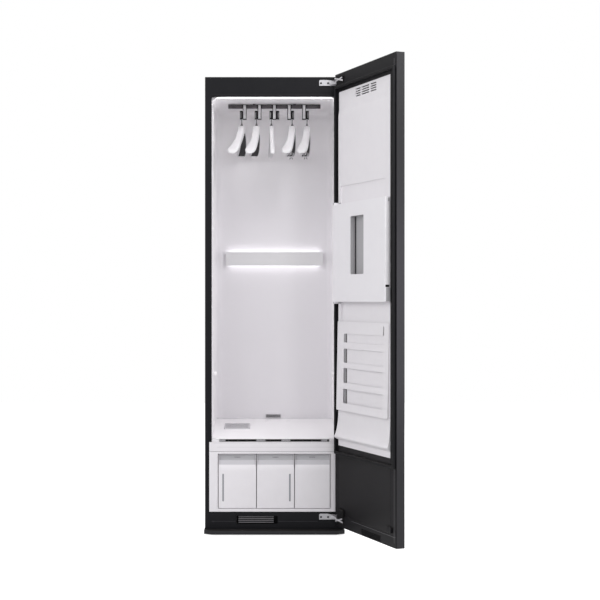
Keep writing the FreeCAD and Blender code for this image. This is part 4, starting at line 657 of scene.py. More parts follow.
def plate(outer, holes, near, far):
    """An upright plate between two depths, with holes; outlines are lists of (x, z)."""
    work = bmesh.new()
    for loop in [outer] + list(holes):
        corners = [work.verts.new((x, near, z)) for x, z in loop]
        for index, corner in enumerate(corners):
            work.edges.new((corner, corners[(index + 1) % len(corners)]))
    bmesh.ops.triangle_fill(work, use_beauty=True, edges=work.edges[:])
    bmesh.ops.join_triangles(work, faces=work.faces[:], angle_face_threshold=3.1, angle_shape_threshold=3.1)
    grown = bmesh.ops.extrude_face_region(work, geom=work.faces[:])
    moved = [item for item in grown["geom"] if isinstance(item, bmesh.types.BMVert)]
    bmesh.ops.translate(work, vec=(0, far - near, 0), verts=moved)
    return from_work(work)


def pad(limits, radius, near, far, holes=()):
    """An upright plate with round corners between left, right, low and high limits."""
    return plate(round_rectangle(*limits, radius), holes, near, far)


def prism(outline, near, far, width=0.0):
    """An upright outline of (x, z) pairs between two depths, rounded if a width is given."""
    mesh = plate(outline, [], near, far)
    return rounded(mesh, width) if width else mesh


def block(x, y, z, width=0.6, segments=2):
    """A block between three pairs of limits, rounded if the width isn't 0."""
    work = bmesh.new()
    made = bmesh.ops.create_cube(work, size=1)
    bmesh.ops.scale(work, vec=(x[1] - x[0], y[1] - y[0], z[1] - z[0]), verts=made["verts"])
    middle = ((x[0] + x[1]) / 2, (y[0] + y[1]) / 2, (z[0] + z[1]) / 2)
    bmesh.ops.translate(work, vec=middle, verts=made["verts"])
    mesh = from_work(work)
    return rounded(mesh, width, segments) if width else mesh


def swept(profile, left, right):
    """A closed (y, z) profile carried straight along x."""
    work = bmesh.new()
    rows = [[work.verts.new((x, y, z)) for y, z in profile] for x in (left, right)]
    count = len(profile)
    for index in range(count):
        after = (index + 1) % count
        work.faces.new((rows[0][index], rows[0][after], rows[1][after], rows[1][index]))
    work.faces.new(rows[0])
    work.faces.new(rows[1][::-1])
    return from_work(work)


def curve_between(points, steps):
    """A smooth run of points through a few given ones (Catmull-Rom), as (a, b) pairs."""
    full = [points[0]] + list(points) + [points[-1]]
    found = []
    for index in range(1, len(full) - 2):
        p0, p1, p2, p3 = (Vector(p) for p in full[index - 1:index + 3])
        for step in range(steps):
            t = step / steps
            spot = 0.5 * (2 * p1 + (p2 - p0) * t + (2 * p0 - 5 * p1 + 4 * p2 - p3) * t ** 2
                          + (3 * p1 - p0 - 3 * p2 + p3) * t ** 3)
            found.append(tuple(spot))
    return found + [tuple(points[-1])]


print("door turned by", round(math.degrees(DOOR_HEADING), 1), "degrees")

# %% [markdown]
# ## Vent slots
# Twelve round-ended slots let air out at the top of the liner. One slot is drawn once, and a Geometry Nodes
# tree stands copies of it on a grid of points for each group. The result is a cutter for the liner.

# %% Grid tree
def new_tree(name, **wanted):
    """A Geometry Nodes tree with these inputs, and its first and last nodes."""
    tree = bpy.data.node_groups.new(name, "GeometryNodeTree")
    tree.interface.new_socket("Geometry", in_out="OUTPUT", socket_type="NodeSocketGeometry")
    for label, kind in wanted.items():
        tree.interface.new_socket(label, in_out="INPUT", socket_type="NodeSocket" + kind)
    return tree, node(tree, "NodeGroupInput"), node(tree, "NodeGroupOutput")


def copies_on(tree, wanted, giver, output):
    """Put the wanted object on the points that a node gives; the copies, and them as real mesh."""
    shape = node(tree, "GeometryNodeObjectInfo")
    copies = node(tree, "GeometryNodeInstanceOnPoints")
    real = node(tree, "GeometryNodeRealizeInstances")
    wire(tree, (wanted, "copy", shape, "Object"), (giver, output, copies, "Points"),
         (shape, "Geometry", copies, "Instance"), (copies, 0, real, 0))
    return copies, real


def hand_out(tree, wanted, last, given):
    """Give the last node's mesh its material and send it out of the tree."""
    paint = node(tree, "GeometryNodeSetMaterial")
    wire(tree, (last, 0, paint, "Geometry"), (wanted, "finish", paint, "Material"), (paint, 0, given, 0))


GRID, wanted, given = new_tree("grid_of_copies", copy="Object", across="Int", up="Int", pitch_x="Float",
                               pitch_z="Float", start="Vector", finish="Material")
columns, rows = node(GRID, "GeometryNodeMeshLine"), node(GRID, "GeometryNodeMeshLine")
step_x, step_z = node(GRID, "ShaderNodeCombineXYZ"), node(GRID, "ShaderNodeCombineXYZ")
row_points = node(GRID, "GeometryNodeInstanceOnPoints")
points = node(GRID, "GeometryNodeRealizeInstances")
wire(GRID, (wanted, "across", columns, "Count"), (wanted, "start", columns, "Start Location"),
     (wanted, "pitch_x", step_x, "X"), (step_x, 0, columns, "Offset"), (wanted, "up", rows, "Count"),
     (wanted, "pitch_z", step_z, "Z"), (step_z, 0, rows, "Offset"), (columns, "Mesh", row_points, "Points"),
     (rows, "Mesh", row_points, "Instance"), (row_points, 0, points, 0))
hand_out(GRID, wanted, copies_on(GRID, wanted, points, 0)[1], given)


def run_tree(tree, mesh, skin, **values):
    """Bake a tree that copies a small mesh; the values are named like the tree's inputs."""
    small, holder = helper(mesh), helper(bpy.data.meshes.new("holder"))
    values.update(copy=small, finish=FINISHES[skin])
    modifier = holder.modifiers.new("nodes", "NODES")
    modifier.node_group = tree
    for item in tree.interface.items_tree:
        if item.in_out == "INPUT":
            modifier[item.identifier] = values[item.name]
    made = real_mesh(holder)
    bpy.data.objects.remove(small)
    return made


def grid_of(mesh, across, up, pitch, start, skin):
    """Copies of a small mesh on a grid; sizes in millimetres."""
    return run_tree(GRID, mesh, skin, across=across, up=up, pitch_x=pitch[0] * MM, pitch_z=pitch[1] * MM,
                    start=tuple(c * MM for c in start))


def minus(mesh, cutter):
    """The mesh with a cutter taken out of it."""
    tool = helper(cutter)
    result = baked(mesh, [("BOOLEAN", dict(operation="DIFFERENCE", solver="EXACT", object=tool))])
    bpy.data.objects.remove(tool)
    return cleaned(result)


VENT_GROUPS = ((203, 254), (262, 339), (348, 406))
VENT_LOW = 1841.5
VENT_PITCH = 9.5
VENT_HALF = 2.8

slots = []
for left, right in VENT_GROUPS:
    half = (right - left) / 2
    slot = plate(round_rectangle(-half, half, -VENT_HALF, VENT_HALF, VENT_HALF - 0.1, 4), [], -6, 9)
    slots.append(grid_of(slot, 1, 4, (0, VENT_PITCH), ((left + right) / 2, 0, VENT_LOW), "door_white"))
vent_cutter = joined(slots)
print("vent cutter:", len(vent_cutter.polygons), "faces")

# %% [markdown]
# ## Door liner
# The liner is one pressed sheet: a soft step near its top, a shallow recess behind the press and the slots.
# Its section is swept along the door, then the recess and the slots are cut out of it.

# %% Liner
LINER = (34.3, 540.7, 386.3, 1881.7)
STEP_LOW, STEP_HIGH, STEP_DEPTH = 1776, 1808, 3.2
RECESS, RECESS_DEPTH = (60, 500, 913, 1481), 3.5
VENT_SHADE_BACKING = (198, 411, 1836, 1876)

rise = curve_between([(0, STEP_LOW), (STEP_DEPTH * 0.12, STEP_LOW + 8),
                      (STEP_DEPTH * 0.5, (STEP_LOW + STEP_HIGH) / 2), (STEP_DEPTH * 0.88, STEP_HIGH - 8),
                      (STEP_DEPTH, STEP_HIGH)], 4)
profile = [(0, LINER[2])] + rise + [(STEP_DEPTH, LINER[3]), (12, LINER[3]), (12, LINER[2])]
sheet = swept(profile, LINER[0], LINER[1])
recess = pad(RECESS, 8, -5, RECESS_DEPTH)
sheet = rounded(minus(sheet, joined([recess, vent_cutter])), 0.7, 2, 34)
add_to_door("door_liner_skin", sheet, "door_white", ["door_liner"])

ribs = [block((x, x + 1.6), (1.2, RECESS_DEPTH + 0.2), (RECESS[2] + 1, 992), 0) for x in range(62, 78, 5)]
add_to_door("recess_ribs", ribs, "door_white")
# A dark plate at the bottom of the vent slots is painted shade for the dark inside them.
add_to_door("vent_backing", pad(VENT_SHADE_BACKING, 3, 8.4, 8.9), "dark_plastic")
print("liner faces", len(sheet.polygons))

# %% [markdown]
# ## Drip apron
# Below the trouser guide the liner sweeps forward into a lip that leads drips back into the chamber. The
# lip is a smooth curve, deepest at the hinge side.

# %% Apron
APRON_CURVE = [(0, 540), (-2.0, 505), (-6.0, 470), (-12.5, 442), (-20, 426)]
apron = [(1.5, 540)] + curve_between(APRON_CURVE, 6) + [(-19.2, 423.6), (-17, 420), (-8, 414), (1.5, 410)]
sheet = swept(apron, LINER[0], LINER[1])
for corner in sheet.vertices:
    share = (corner.co.x / MM - LINER[0]) / (LINER[1] - LINER[0])
    if corner.co.y < 0:
        corner.co.y *= 1 - 0.4 * share
add_to_door("drip_apron", rounded(sheet, 0.5, 2, 40), "door_white")
print("apron faces", len(sheet.polygons))

# %% [markdown]
# ## Trouser guide
# The guide is a thin tray that stands proud at its foot. Its four windows have round corners, and at the hinge
# side of each one a grey strip with dark lines is painted shade for the gap behind the tray.

# %% Guide
GUIDE = (34, 535, 538, 912)
GUIDE_FOOT, GUIDE_HEAD, GUIDE_SHEET = 10.0, 3.0, 3.0
WINDOW_SIDES, WINDOWS = (100, 492), ((570, 630), (655, 717), (739, 798), (824, 861))
GAP_SHADE_LINES = ((101, 103), (114, 124))
LINE_DEPTHS = (-0.6, -0.3)


def guide_front(height):
    """How far the tray's face stands out at a height."""
    share = (height - GUIDE[2]) / (GUIDE[3] - GUIDE[2])
    return -(GUIDE_FOOT + (GUIDE_HEAD - GUIDE_FOOT) * share)


def leaned(mesh, limit=GUIDE_SHEET):
    """Move each point out as far as the tray stands at its height, but not past a depth."""
    for corner in mesh.vertices:
        corner.co.y = min(limit * MM, corner.co.y + guide_front(corner.co.z / MM) * MM)
    return mesh


holes = [round_rectangle(*WINDOW_SIDES, low, high, 7) for low, high in WINDOWS]
holes[3] = [(492, 894), (484, 902), (481, 861)] + [(x, z) for x, z in holes[3] if x <= 470 or z <= 850]
face = leaned(pad(GUIDE, 5, 0, GUIDE_SHEET, holes))
rim = leaned(pad(GUIDE, 5, 0.4, 10, [round_rectangle(37, 532, 541, 909, 3)]), 0.2)
face = rounded(face, 0.8, 2, 34)
add_to_door("trouser_guide_skin", face, "door_white", ["trouser_guide"])
add_to_door("trouser_guide_rim", smooth(rim, 30), "door_white")
# Painted shade: a grey strip and dark lines at the hinge side of each window stand for the shaded gap behind
# the tray.
gap_shades = [pad((102, 124, low - 2, high + 2), 4, -0.35, 0.3) for low, high in WINDOWS]
add_to_door("guide_gaps", gap_shades, "strap_grey")
lines = [block((left, right), LINE_DEPTHS, limits, 0)
         for limits in WINDOWS for left, right in GAP_SHADE_LINES]
lines.append(prism([(482, 862), (491, 862), (491, 894), (482, 901)], *LINE_DEPTHS))
add_to_door("guide_gap_lines", lines, "dark_plastic")
print("guide faces", len(face.polygons))

# %% [markdown]
# ## Trouser press
# The press is a thick white lid with a tall window. Behind the window lie the grey pressing plate and the
# dark joint beside it.

# %% Press
PRESS = (30, 541, 994, 1404)
PRESS_NEAR, PRESS_FAR = -22.5, -2.3
PRESS_WINDOW = (210, 339, 1107, 1346)
PRESS_JOINT = (209, 224, 1108, 1345)

lid = rounded(pad(PRESS, 4, PRESS_NEAR, PRESS_FAR, [round_rectangle(*PRESS_WINDOW, 6)]), 1.6, 3, 34)
# The window's inner walls take the grey finish as painted shade.
painted(lid, lambda face: PRESS_NEAR + 1.7 < face.center.y / MM < PRESS_FAR - 0.2
        and PRESS_WINDOW[0] - 1 < face.center.x / MM < PRESS_WINDOW[1] + 1
        and PRESS_WINDOW[2] - 1 < face.center.z / MM < PRESS_WINDOW[3] + 1)
add_to_door("press_cover_skin", lid, ["press_white", "strap_grey"], ["press_cover"],
            "press_cover")
add_to_door("press_joint_line", pad(PRESS_JOINT, 1, -2.28, -2.05), "dark_plastic")
print("press lid faces", len(lid.polygons))

# %% [markdown]
# ## Wire, lofts and turned shapes
# Hooks and clips are round wire along a path, hangers are lofts through sections, and caps and knobs are
# turned from a short profile. Each maker works in millimetres and closes its mesh.

# %% Shape makers
def circle(radius, sides):
    """Points of a circle, as (a, b) pairs."""
    return [(radius * math.cos(turn), radius * math.sin(turn))
            for turn in [2 * math.pi * step / sides for step in range(sides)]]


def loft_rings(work, rings):
    """Faces between rings of the same count, with a cap on the first and the last."""
    for first, second in zip(rings, rings[1:]):
        for index in range(len(first)):
            after = (index + 1) % len(first)
            work.faces.new((first[index], first[after], second[after], second[index]))
    work.faces.new(rings[0][::-1])
    work.faces.new(rings[-1])


def tube(path, radius, sides=10):
    """Round wire along a list of points, closed at both ends."""
    work = bmesh.new()
    points = [Vector(point) for point in path]
    rings = []
    guide = Vector((1, 0.013, 0))
    for index, point in enumerate(points):
        ahead = (points[min(index + 1, len(points) - 1)] - points[max(index - 1, 0)]).normalized()
        across = (guide - ahead * guide.dot(ahead)).normalized()
        up = ahead.cross(across)
        rings.append([work.verts.new(point + a * across + b * up) for a, b in circle(radius, sides)])
        guide = across
    loft_rings(work, rings)
    return smooth(from_work(work), 50)


def turned(profile, place, sides=24):
    """A profile of (radius, height) pairs turned about an upright axis at a place."""
    work = bmesh.new()
    loft_rings(work, [[work.verts.new((place[0] + a, place[1] + b, place[2] + height))
                       for a, b in circle(radius, sides)] for radius, height in profile])
    return smooth(from_work(work), 35)


print("makers ready")

# %% [markdown]
# ## Light in the chamber
# A thin lens runs along the front of the ceiling. The bar on the back wall hides two more lenses behind
# its face plate, so that light spreads over the wall above and below it.

# %% Lenses and light bar
CEILING_HALF, CEILING_HIGH, CEILING_LOW = 262, 1873, 1869
BAR = (-225, 225, 1160, 1223)
BAR_FRONT, BACK_WALL = 192.5, 217.5

lens = block((-CEILING_HALF, CEILING_HALF), (-244.5, -236), (CEILING_LOW, CEILING_HIGH), 1.2)
painted(lens, lambda face: face.normal.y > 0.6)
add_piece("ceiling_lens", lens, "cabinet", ["strip_glow", "ceiling_glow"], ["ceiling_light"])
bar_face = pad(BAR, 3, BAR_FRONT, BAR_FRONT + 4)
core = block((BAR[0] + 4, BAR[1] - 4), (BAR_FRONT + 3, BACK_WALL), (BAR[2] + 7, BAR[3] - 7), 0.6)
add_piece("light_bar_skin", [rounded(bar_face, 1, 3), core], "cabinet", "bar_grey", ["light_bar"])
lenses = [block((BAR[0] + 4, BAR[1] - 4), (BAR_FRONT + 5, BACK_WALL - 0.3), (low, low + 5.6), 1)
          for low in (BAR[2] + 1.2, BAR[3] - 6.8)]
add_piece("light_bar_lenses", lenses, "cabinet", "bar_glow")
print("lenses along", 2 * CEILING_HALF, "and", BAR[1] - BAR[0] - 8, "mm")

# %% [markdown]
# ## Chamber fittings
# Small mouldings finish the chamber: a shallow panel at the top of its back wall, webs in the upper front
# corners, closed ends beside the air slot and short runs of ribs in it.

# %% Panel, corner webs and slot ends
OPENING_HALF, CORNER = 269, 30
CORNER_TURNS = [90 * step / 8 for step in range(9)]
CHAMBER_HIGH, SLOT_LOW, SLOT_HIGH = 1873, 393.2, 402.8
SLOT_HALF = 236
TOP_PANEL = (-246, 246, 1842.5, 1871)

panel = pad(TOP_PANEL, 6, BACK_WALL - 2.4, BACK_WALL + 0.4)
add_piece("back_panel_step", rounded(panel, 1.1, 3), "cabinet", "chamber_white")
webs = []
for side in (-1, 1):
    arc = [(side * (OPENING_HALF - CORNER + CORNER * math.sin(math.radians(turn))),
            CHAMBER_HIGH - CORNER + CORNER * math.cos(math.radians(turn))) for turn in CORNER_TURNS]
    webs.append(plate([(side * (OPENING_HALF - 0.05), CHAMBER_HIGH - 0.05)] + arc, [], -248.4, -246))
    ends = sorted((side * SLOT_HALF, side * (OPENING_HALF - 0.4)))
    webs.append(block(ends, (-268, -248.6), (SLOT_LOW, SLOT_HIGH + 1.5), 0.6))
add_piece("corner_webs", webs, "cabinet", "drawer_white")

RIB_RUNS = ((-233, 6), (-74.5, 9), (32.5, 9), (203.7, 6))
RIB_PITCH = 4.2
rib = block((-1.1, 1.1), (-271, -249), (0, SLOT_HIGH - SLOT_LOW - 1), 0)
runs = [grid_of(rib, count, 1, (RIB_PITCH, 0), (start, 0, SLOT_LOW + 0.5), "slope_grey")
        for start, count in RIB_RUNS]
add_piece("slot_ribs", runs, "cabinet", "slope_grey")
print("corner webs, slot ends and", len(RIB_RUNS), "runs of ribs")

# %% [markdown]
# ## Floor filter
# The filter cover lies on the sloping floor. It is drawn upright like every plate, then laid down: its rim,
# a mesh of crossed bars made by the grid tree, and the felt below.

# %% Floor filter
FLOOR_FRONT, FLOOR_BACK = Vector((0, -246.5, 407)), Vector((0, 217.2, 452))
FLOOR_SLOPE = math.atan2(FLOOR_BACK.z - FLOOR_FRONT.z, FLOOR_BACK.y - FLOOR_FRONT.y)
FILTER = (-224.5, -109.5, -44.5, 88.5)
MARKS = ((-46, 20, 148), (-22, 22, 151), (52, 21, 149))
LAY_DOWN = Matrix.Rotation(-math.pi / 2, 4, "X")


def laid(mesh, slope, start):
    """Lay an upright mesh on a slope that begins at a place: its z becomes the way back, its front the top."""
    shift = Matrix.Translation(Vector((0, -start.y, 0)) * MM)
    mesh.transform(Matrix.Translation(start * MM) @ Matrix.Rotation(slope, 4, "X") @ shift @ LAY_DOWN)
    return mesh


def on_floor(mesh):
    """Lay a mesh on the sloping floor."""
    return laid(mesh, FLOOR_SLOPE, FLOOR_FRONT)


def crossed_bars(limits, inset, counts, half, depths, skin):
    """Upright and level bars that cross inside an inset area; the counts are of bars each way."""
    left, right, low, high = limits
    left, right, low, high = left + inset[0], right - inset[0], low + inset[1], high - inset[1]
    near, middle, far = depths
    gap, rise = (right - left) / (counts[0] + 1), (high - low) / (counts[1] + 1)
    upright = block((-half, half), (near, far), (0, high - low), 0)
    level = block((0, right - left), (middle, far), (-0.5, 0.5), 0)
    return [grid_of(upright, counts[0], 1, (gap, 0), (left + gap, 0, low), skin),
            grid_of(level, 1, counts[1], (0, rise), (left, 0, low + rise), skin)]


left, right, low, high = FILTER
hole = round_rectangle(left + 8, right - 8, low + 9, high - 9, 5)
rim = rounded(pad(FILTER, 9, -2.6, 1.5, [hole]), 0.9, 3)
bars = joined(crossed_bars(FILTER, (8, 9), (24, 14), 0.55, (-1.6, -1.4, -0.4), "grille_grey"))
felt = pad((left + 6, right - 6, low + 7, high - 7), 4, 0.2, 1.4)
add_piece("floor_filter_rim", on_floor(rim), "cabinet", "filter_grey", replaces=["floor_filter"])
add_piece("floor_filter_mesh", on_floor(bars), "cabinet", "grille_grey")
add_piece("floor_filter_felt", on_floor(felt), "cabinet", "felt_grey")
marks = [block((x, x + length), (-0.5, 0.3), (z, z + 2.4), 0.2) for x, length, z in MARKS]
add_piece("floor_marks", on_floor(joined(marks)), "cabinet", "grille_grey")
print("filter slope", round(math.degrees(FLOOR_SLOPE), 1), "degrees")

# %% [markdown]
# ## Back grille
# A low grille on the back wall lets steam in. Its slim slats come from the same grid tree.

# %% Back grille
GRILLE = (-42, 32, 453, 473)
slat = block((GRILLE[0] + 3, GRILLE[1] - 3), (212.9, 214.6), (0, 1.1), 0)
slats = grid_of(slat, 1, 6, (0, 2.5), (0, 0, GRILLE[2] + 3.2), "grille_grey")
add_piece("grille_slats", slats, "cabinet", "slot_grey")
print("grille slats", len(slats.polygons), "faces")

# %% [markdown]
# ## Rail, straps and cheeks
# Each strap is a dark clip that grips the rail with a light face on its front. Dark cheeks beside it carry
# the hooks, each with a bright slit where the hook goes in.

# %% Rail, straps and cheeks
SEAT_JOINTS = [joint for joint in frame["joints"] if joint["name"].startswith("hanger_")]
SEATS = [Vector(joint["pos_m"]) / MM for joint in sorted(SEAT_JOINTS, key=lambda joint: joint["name"])]
RAIL_Y = SEATS[0].y
STRAP_PITCH = 66
STRAP_HALF = 8.5
STRAP_LOW, RAIL_LOW, RAIL_HIGH = 1804, 1853, 1870
CHEEK_HIGH = 1842
CLIP_FRONT = RAIL_Y - 13
GRIP = (RAIL_Y - 10, RAIL_Y + 10)
TRAPEZE = [(13, RAIL_HIGH - 1), (10, RAIL_LOW + 1), (STRAP_HALF, RAIL_LOW - 2), (STRAP_HALF, STRAP_LOW)]
SPARE_SEAT = Vector((13.5, RAIL_Y, SEATS[0].z))

clips, faces = [], []
for place in range(-2, 3):
    x = place * STRAP_PITCH
    outline = [(x - half, z) for half, z in TRAPEZE] + [(x + half, z) for half, z in TRAPEZE[::-1]]
    clips.append(prism(outline, CLIP_FRONT + 0.6, GRIP[0], 0.5))
    clips.append(block((x - STRAP_HALF, x + STRAP_HALF), GRIP, (STRAP_LOW, RAIL_LOW - 0.2), 0.8))
    faces.append(block((x - 5.8, x + 5.8), (CLIP_FRONT - 0.6, CLIP_FRONT + 0.7),
                       (STRAP_LOW + 2, RAIL_HIGH - 2), 0.5))
add_piece("strap_clips", clips, "rail", "clip_black", ["hook_straps"])
add_piece("strap_faces", faces, "rail", "strap_grey")

cheeks, slits = [], []
for seat in SEATS + [SPARE_SEAT]:
    strap = round(seat.x / STRAP_PITCH) * STRAP_PITCH
    side = 1 if seat.x > strap else -1
    near, far = strap + side * STRAP_HALF, strap + side * (STRAP_HALF + 13)
    low, high = sorted((near, far))
    outer = sorted((far, far - side * 3))
    cheeks.append(block(outer, GRIP, (STRAP_LOW, CHEEK_HIGH), 0.8))
    cheeks.append(block((low, high), GRIP, (CHEEK_HIGH - 3, CHEEK_HIGH)))
    cheeks.append(block((low, high), (RAIL_Y - 12.4, RAIL_Y - 10.2), (STRAP_LOW, CHEEK_HIGH)))
    cheeks.append(tube([(low, RAIL_Y, seat.z), (high, RAIL_Y, seat.z)], 3.5, 20))
    slit = sorted((far - side * 3.4, far - side * 5.4))
    slits.append(block(slit, (RAIL_Y - 12.9, RAIL_Y - 12.3), (STRAP_LOW + 6, CHEEK_HIGH - 7), 0.2))
add_piece("hook_cheeks_skin", cheeks, "rail", "clip_black", ["hook_cheeks"])
add_piece("cheek_slits", slits, "rail", "strap_grey")
piece = dressed("hanger_rail", 0.5, "rail_metal")
print("seats", [tuple(round(c, 1) for c in seat) for seat in SEATS])

# %% [markdown]
# ## Hangers
# A suit hanger is a long moulded saddle: narrow at the neck, wide at the shoulders and hollow below, with
# painted shade in the hollow.
# It is lofted through sections whose height, width and bow follow three short formulas.

# %% Saddle of a hanger
REACH, NECK_TOP, SLOPE = 200, 1779, 120
NECK_WIDTH, SHOULDER_WIDTH, SLIM_WIDTH = 29, 46, 17
NECK_DEPTH, TIP_DEPTH = 30, 17
BOWS = (26, 24, 0, 20, 20)
HANGER_TILT = 3.0
STATIONS = [-1, -0.992, -0.975, -0.95, -0.93, -0.9, -0.84, -0.78, -0.7, -0.6, -0.5, -0.4, -0.28, -0.15]
STATIONS = STATIONS + [0] + [-share for share in STATIONS[::-1]]
TIP_SCALE = {1: 0.42, 0.992: 0.64, 0.975: 0.82, 0.95: 0.94, 0.93: 0.985}
TIP_CLOSED = 0.92
HOLLOW_FRONT, HOLLOW_BACK = 0.9, 0.94
RIM = 2.2
SHOULDER_START = 0.55
BOW_POWER, SLOPE_POWER = 3.2, 1.15
HOOK_CURL, HOOK_WIRE = 5.8, 1.8


def eased(share, start, stop):
    """0 below start, 1 above stop, smooth between."""
    t = min(1, max(0, (share - start) / (stop - start)))
    return t * t * (3 - 2 * t)


def saddle_section(share, bow):
    """One closed section: its outer arch from rim to rim, then the hollow below it. No bow means slim."""
    slim = bow == 0
    away = abs(share)
    shrink = TIP_SCALE.get(away, 1) ** (0.4 if slim else 1)
    shoulder = SLIM_WIDTH + 4 if slim else SHOULDER_WIDTH
    neck = SLIM_WIDTH if slim else NECK_WIDTH
    half = (neck + (shoulder - neck) * eased(away, SHOULDER_START, 1.0)) / 2 * shrink
    depth = (NECK_DEPTH + (TIP_DEPTH - NECK_DEPTH) * away) * shrink ** 0.6
    middle = -bow * away ** BOW_POWER
    top = NECK_TOP - SLOPE * away ** SLOPE_POWER - (TIP_DEPTH - depth if away > 0.94 else 0) * 0.6
    arch = depth * (0.24 + 0.18 * away)
    outer, inner = [], []
    for step in range(9):
        turn = math.pi * step / 8
        spread = math.copysign(abs(math.cos(turn)) ** 0.7, math.cos(turn))
        outer.append((middle + half * spread, top - arch + arch * math.sin(turn) ** 0.6))
        inner.append((middle - (half - RIM) * spread, top - arch + (arch - RIM) * math.sin(turn) ** 0.7))
    rim = top - depth
    pinch = 1 if slim else 1 - 0.25 * eased(away, 0.6, 1.0)
    bulge, knee = 0.75 + 0.25 * pinch, rim + (top - arch - rim) * 0.45
    outer = ([(middle + half * pinch, rim), (middle + half * bulge, knee)] + outer
             + [(middle - half * bulge, knee), (middle - half * pinch, rim)])
    inner = ([(middle - half * pinch + RIM, rim), (middle - half * bulge + RIM, knee)] + inner
             + [(middle + half * bulge - RIM, knee), (middle + half * pinch - RIM, rim)])
    if away > TIP_CLOSED:
        last = len(inner) - 1
        inner = [(middle + (half * pinch - RIM) * (2 * step / last - 1), rim + (0.4 if 0 < step < last else 0))
                 for step in range(last + 1)]
    return outer, inner


def saddle(bow):
    """The whole saddle along y, from the front tip to the back tip."""
    work = bmesh.new()
    rings = []
    for share in STATIONS:
        outer, inner = saddle_section(share, bow)
        rings.append([work.verts.new((x, share * REACH, z)) for x, z in outer + inner])
    loft_rings(work, rings)
    first_inner, ring = len(outer), len(outer + inner)

    # The hollow's faces get the dark finish as painted shade.
    def hollow(face):
        """True for the faces of the hollow, except near the tips and on the slim hanger."""
        inside = all(corner % ring >= first_inner for corner in face.vertices)
        return bow and inside and -HOLLOW_FRONT < face.center.y / MM / REACH < HOLLOW_BACK
    return smooth(painted(from_work(work), hollow), 42)


def hook_path(height):
    """The hook's wire: over the bar, down its front, then in to the stem above the saddle."""
    turns = [math.radians(-25 + step * 18.5) for step in range(12)]
    curl = [(0, HOOK_CURL * math.cos(turn), height + HOOK_CURL * math.sin(turn)) for turn in turns]
    return curl + [(0, -HOOK_CURL, height - 5), (0, -HOOK_CURL * 0.8, height - 8.5), (0, -1.2, height - 13.5),
                   (0, 0, height - 17), (0, 0, NECK_TOP - 8)]


def place_hanger(mesh, seat, turn):
    """Tilt a hanger about its hook, turn it on its stem and put it at its seat."""
    pivot = Vector((0, 0, seat.z)) * MM
    tilt = Matrix.Translation(pivot) @ Matrix.Rotation(math.radians(HANGER_TILT), 4, "X")
    tilt = tilt @ Matrix.Translation(-pivot)
    mesh.transform(Matrix.Translation(Vector((seat.x, seat.y, 0)) * MM)
                   @ Matrix.Rotation(math.radians(turn), 4, "Z") @ tilt)
    return mesh


HANGER_TURNS = (-4.2, -1.6, 1.6, -3.1, -3.1)
for number, (seat, turn, bow) in enumerate(zip(SEATS, HANGER_TURNS, BOWS), start=1):
    body = "hanger_%d_set" % number
    arms = place_hanger(saddle(bow), seat, turn)
    add_piece("hanger_%d_saddle" % number, arms, body, ["hanger_white", "hanger_back"],
              ["hanger_%d" % number])
    stem = tube(hook_path(seat.z), HOOK_WIRE)
    foot = turned([(6.5, -3), (6.0, 0.5), (3.6, 4), (2.3, 8.5), (1.9, 11)], (0, 0, NECK_TOP))
    hook = painted(joined([stem, foot]), lambda face: face.center.z / MM > NECK_TOP + 13)
    add_piece("hanger_%d_hook" % number, place_hanger(hook, seat, turn), body, ["wire_metal", "steel"])
print("hanger saddles of", len(arms.polygons), "faces")

# %% [markdown]
# ## Trouser clips
# The last two hangers carry a steel bar with two sprung clips. Each clip is a folded jaw with a round
# knuckle, and two wire loops tie the bar to the saddle.

# %% Trouser clips
CLIP_HALF, CLIP_SPREAD, CLIP_LOW, CLIP_HIGH = 150, 116, 1635, 1665
CLIP_BAR, LOOP_RISE = 1659, 36
JAW_SPREAD = 1.35
JAW_FOLD = ((1.2, CLIP_HIGH), (9.6, CLIP_HIGH - 4), (8.0, CLIP_HIGH - 12), (3.2, CLIP_LOW + 5), (6.2, CLIP_LOW),
            (3.6, CLIP_LOW), (0.9, CLIP_LOW + 5), (5.2, CLIP_HIGH - 12), (7.6, CLIP_HIGH - 5.2),
            (0.6, CLIP_HIGH - 1.6))


def clip_set():
    """A bar along y, its two loops and its two clips, at the hanger's own origin."""
    x = -BOWS[-1] * 0.5
    parts = [tube([(x, -CLIP_HALF, CLIP_BAR), (x, CLIP_HALF, CLIP_BAR)], 2.4, 14)]
    for side in (-1, 1):
        y = side * (CLIP_HALF - 8)
        parts.append(tube([(x, y, CLIP_BAR), (x, y, CLIP_BAR + LOOP_RISE)], HOOK_WIRE))
        y = side * CLIP_SPREAD
        for jaw in (-1, 1):
            fold = [(x + jaw * JAW_SPREAD * across, height) for across, height in JAW_FOLD]
            parts.append(prism(fold, y - 12.5, y + 12.5, 0.2))
        parts.append(tube([(x, y - 9, CLIP_HIGH - 7), (x, y + 9, CLIP_HIGH - 7)], 3.4, 14))
    return joined(parts)


for number in (4, 5):
    mesh = painted(clip_set(), lambda face: face.center.z / MM < CLIP_LOW + 5)
    place_hanger(mesh, SEATS[number - 1], HANGER_TURNS[number - 1])
    add_piece("clip_bar_%d_skin" % number, mesh, "hanger_%d_set" % number, ["steel", "clip_black"],
              ["clip_bar_%d" % number])
print("clip set of", len(mesh.polygons), "faces")

# %% [markdown]
# ## Drawers
# Each drawer front is a tall panel whose top is scooped: an upright band to pull at, a slope below it and a
# soft roll into the flat front. That side section is swept across the drawer, and painted shade darkens the
# band and, less, the slope.

# %% Drawer fronts
FRONT_LOW, FRONT_HIGH = 110, 341
FRONT_NEAR, FRONT_FAR = -270.5, -250
BAND_LOW, BAND_HIGH, SLOPE_LOW, ROLL_LOW = 314, 338.5, 297, 268
BAND_DEPTH, SLOPE_DEPTH = 14, 9.5
BAND_FACE = FRONT_NEAR + BAND_DEPTH
DASH_PITCH = 5.2
DRAWERS = (("supply", -239, -78, "supply_front"), ("drain", -75, 84.5, "drain_front"),
           ("filter", 87.5, 237.5, "filter_front_panel"))


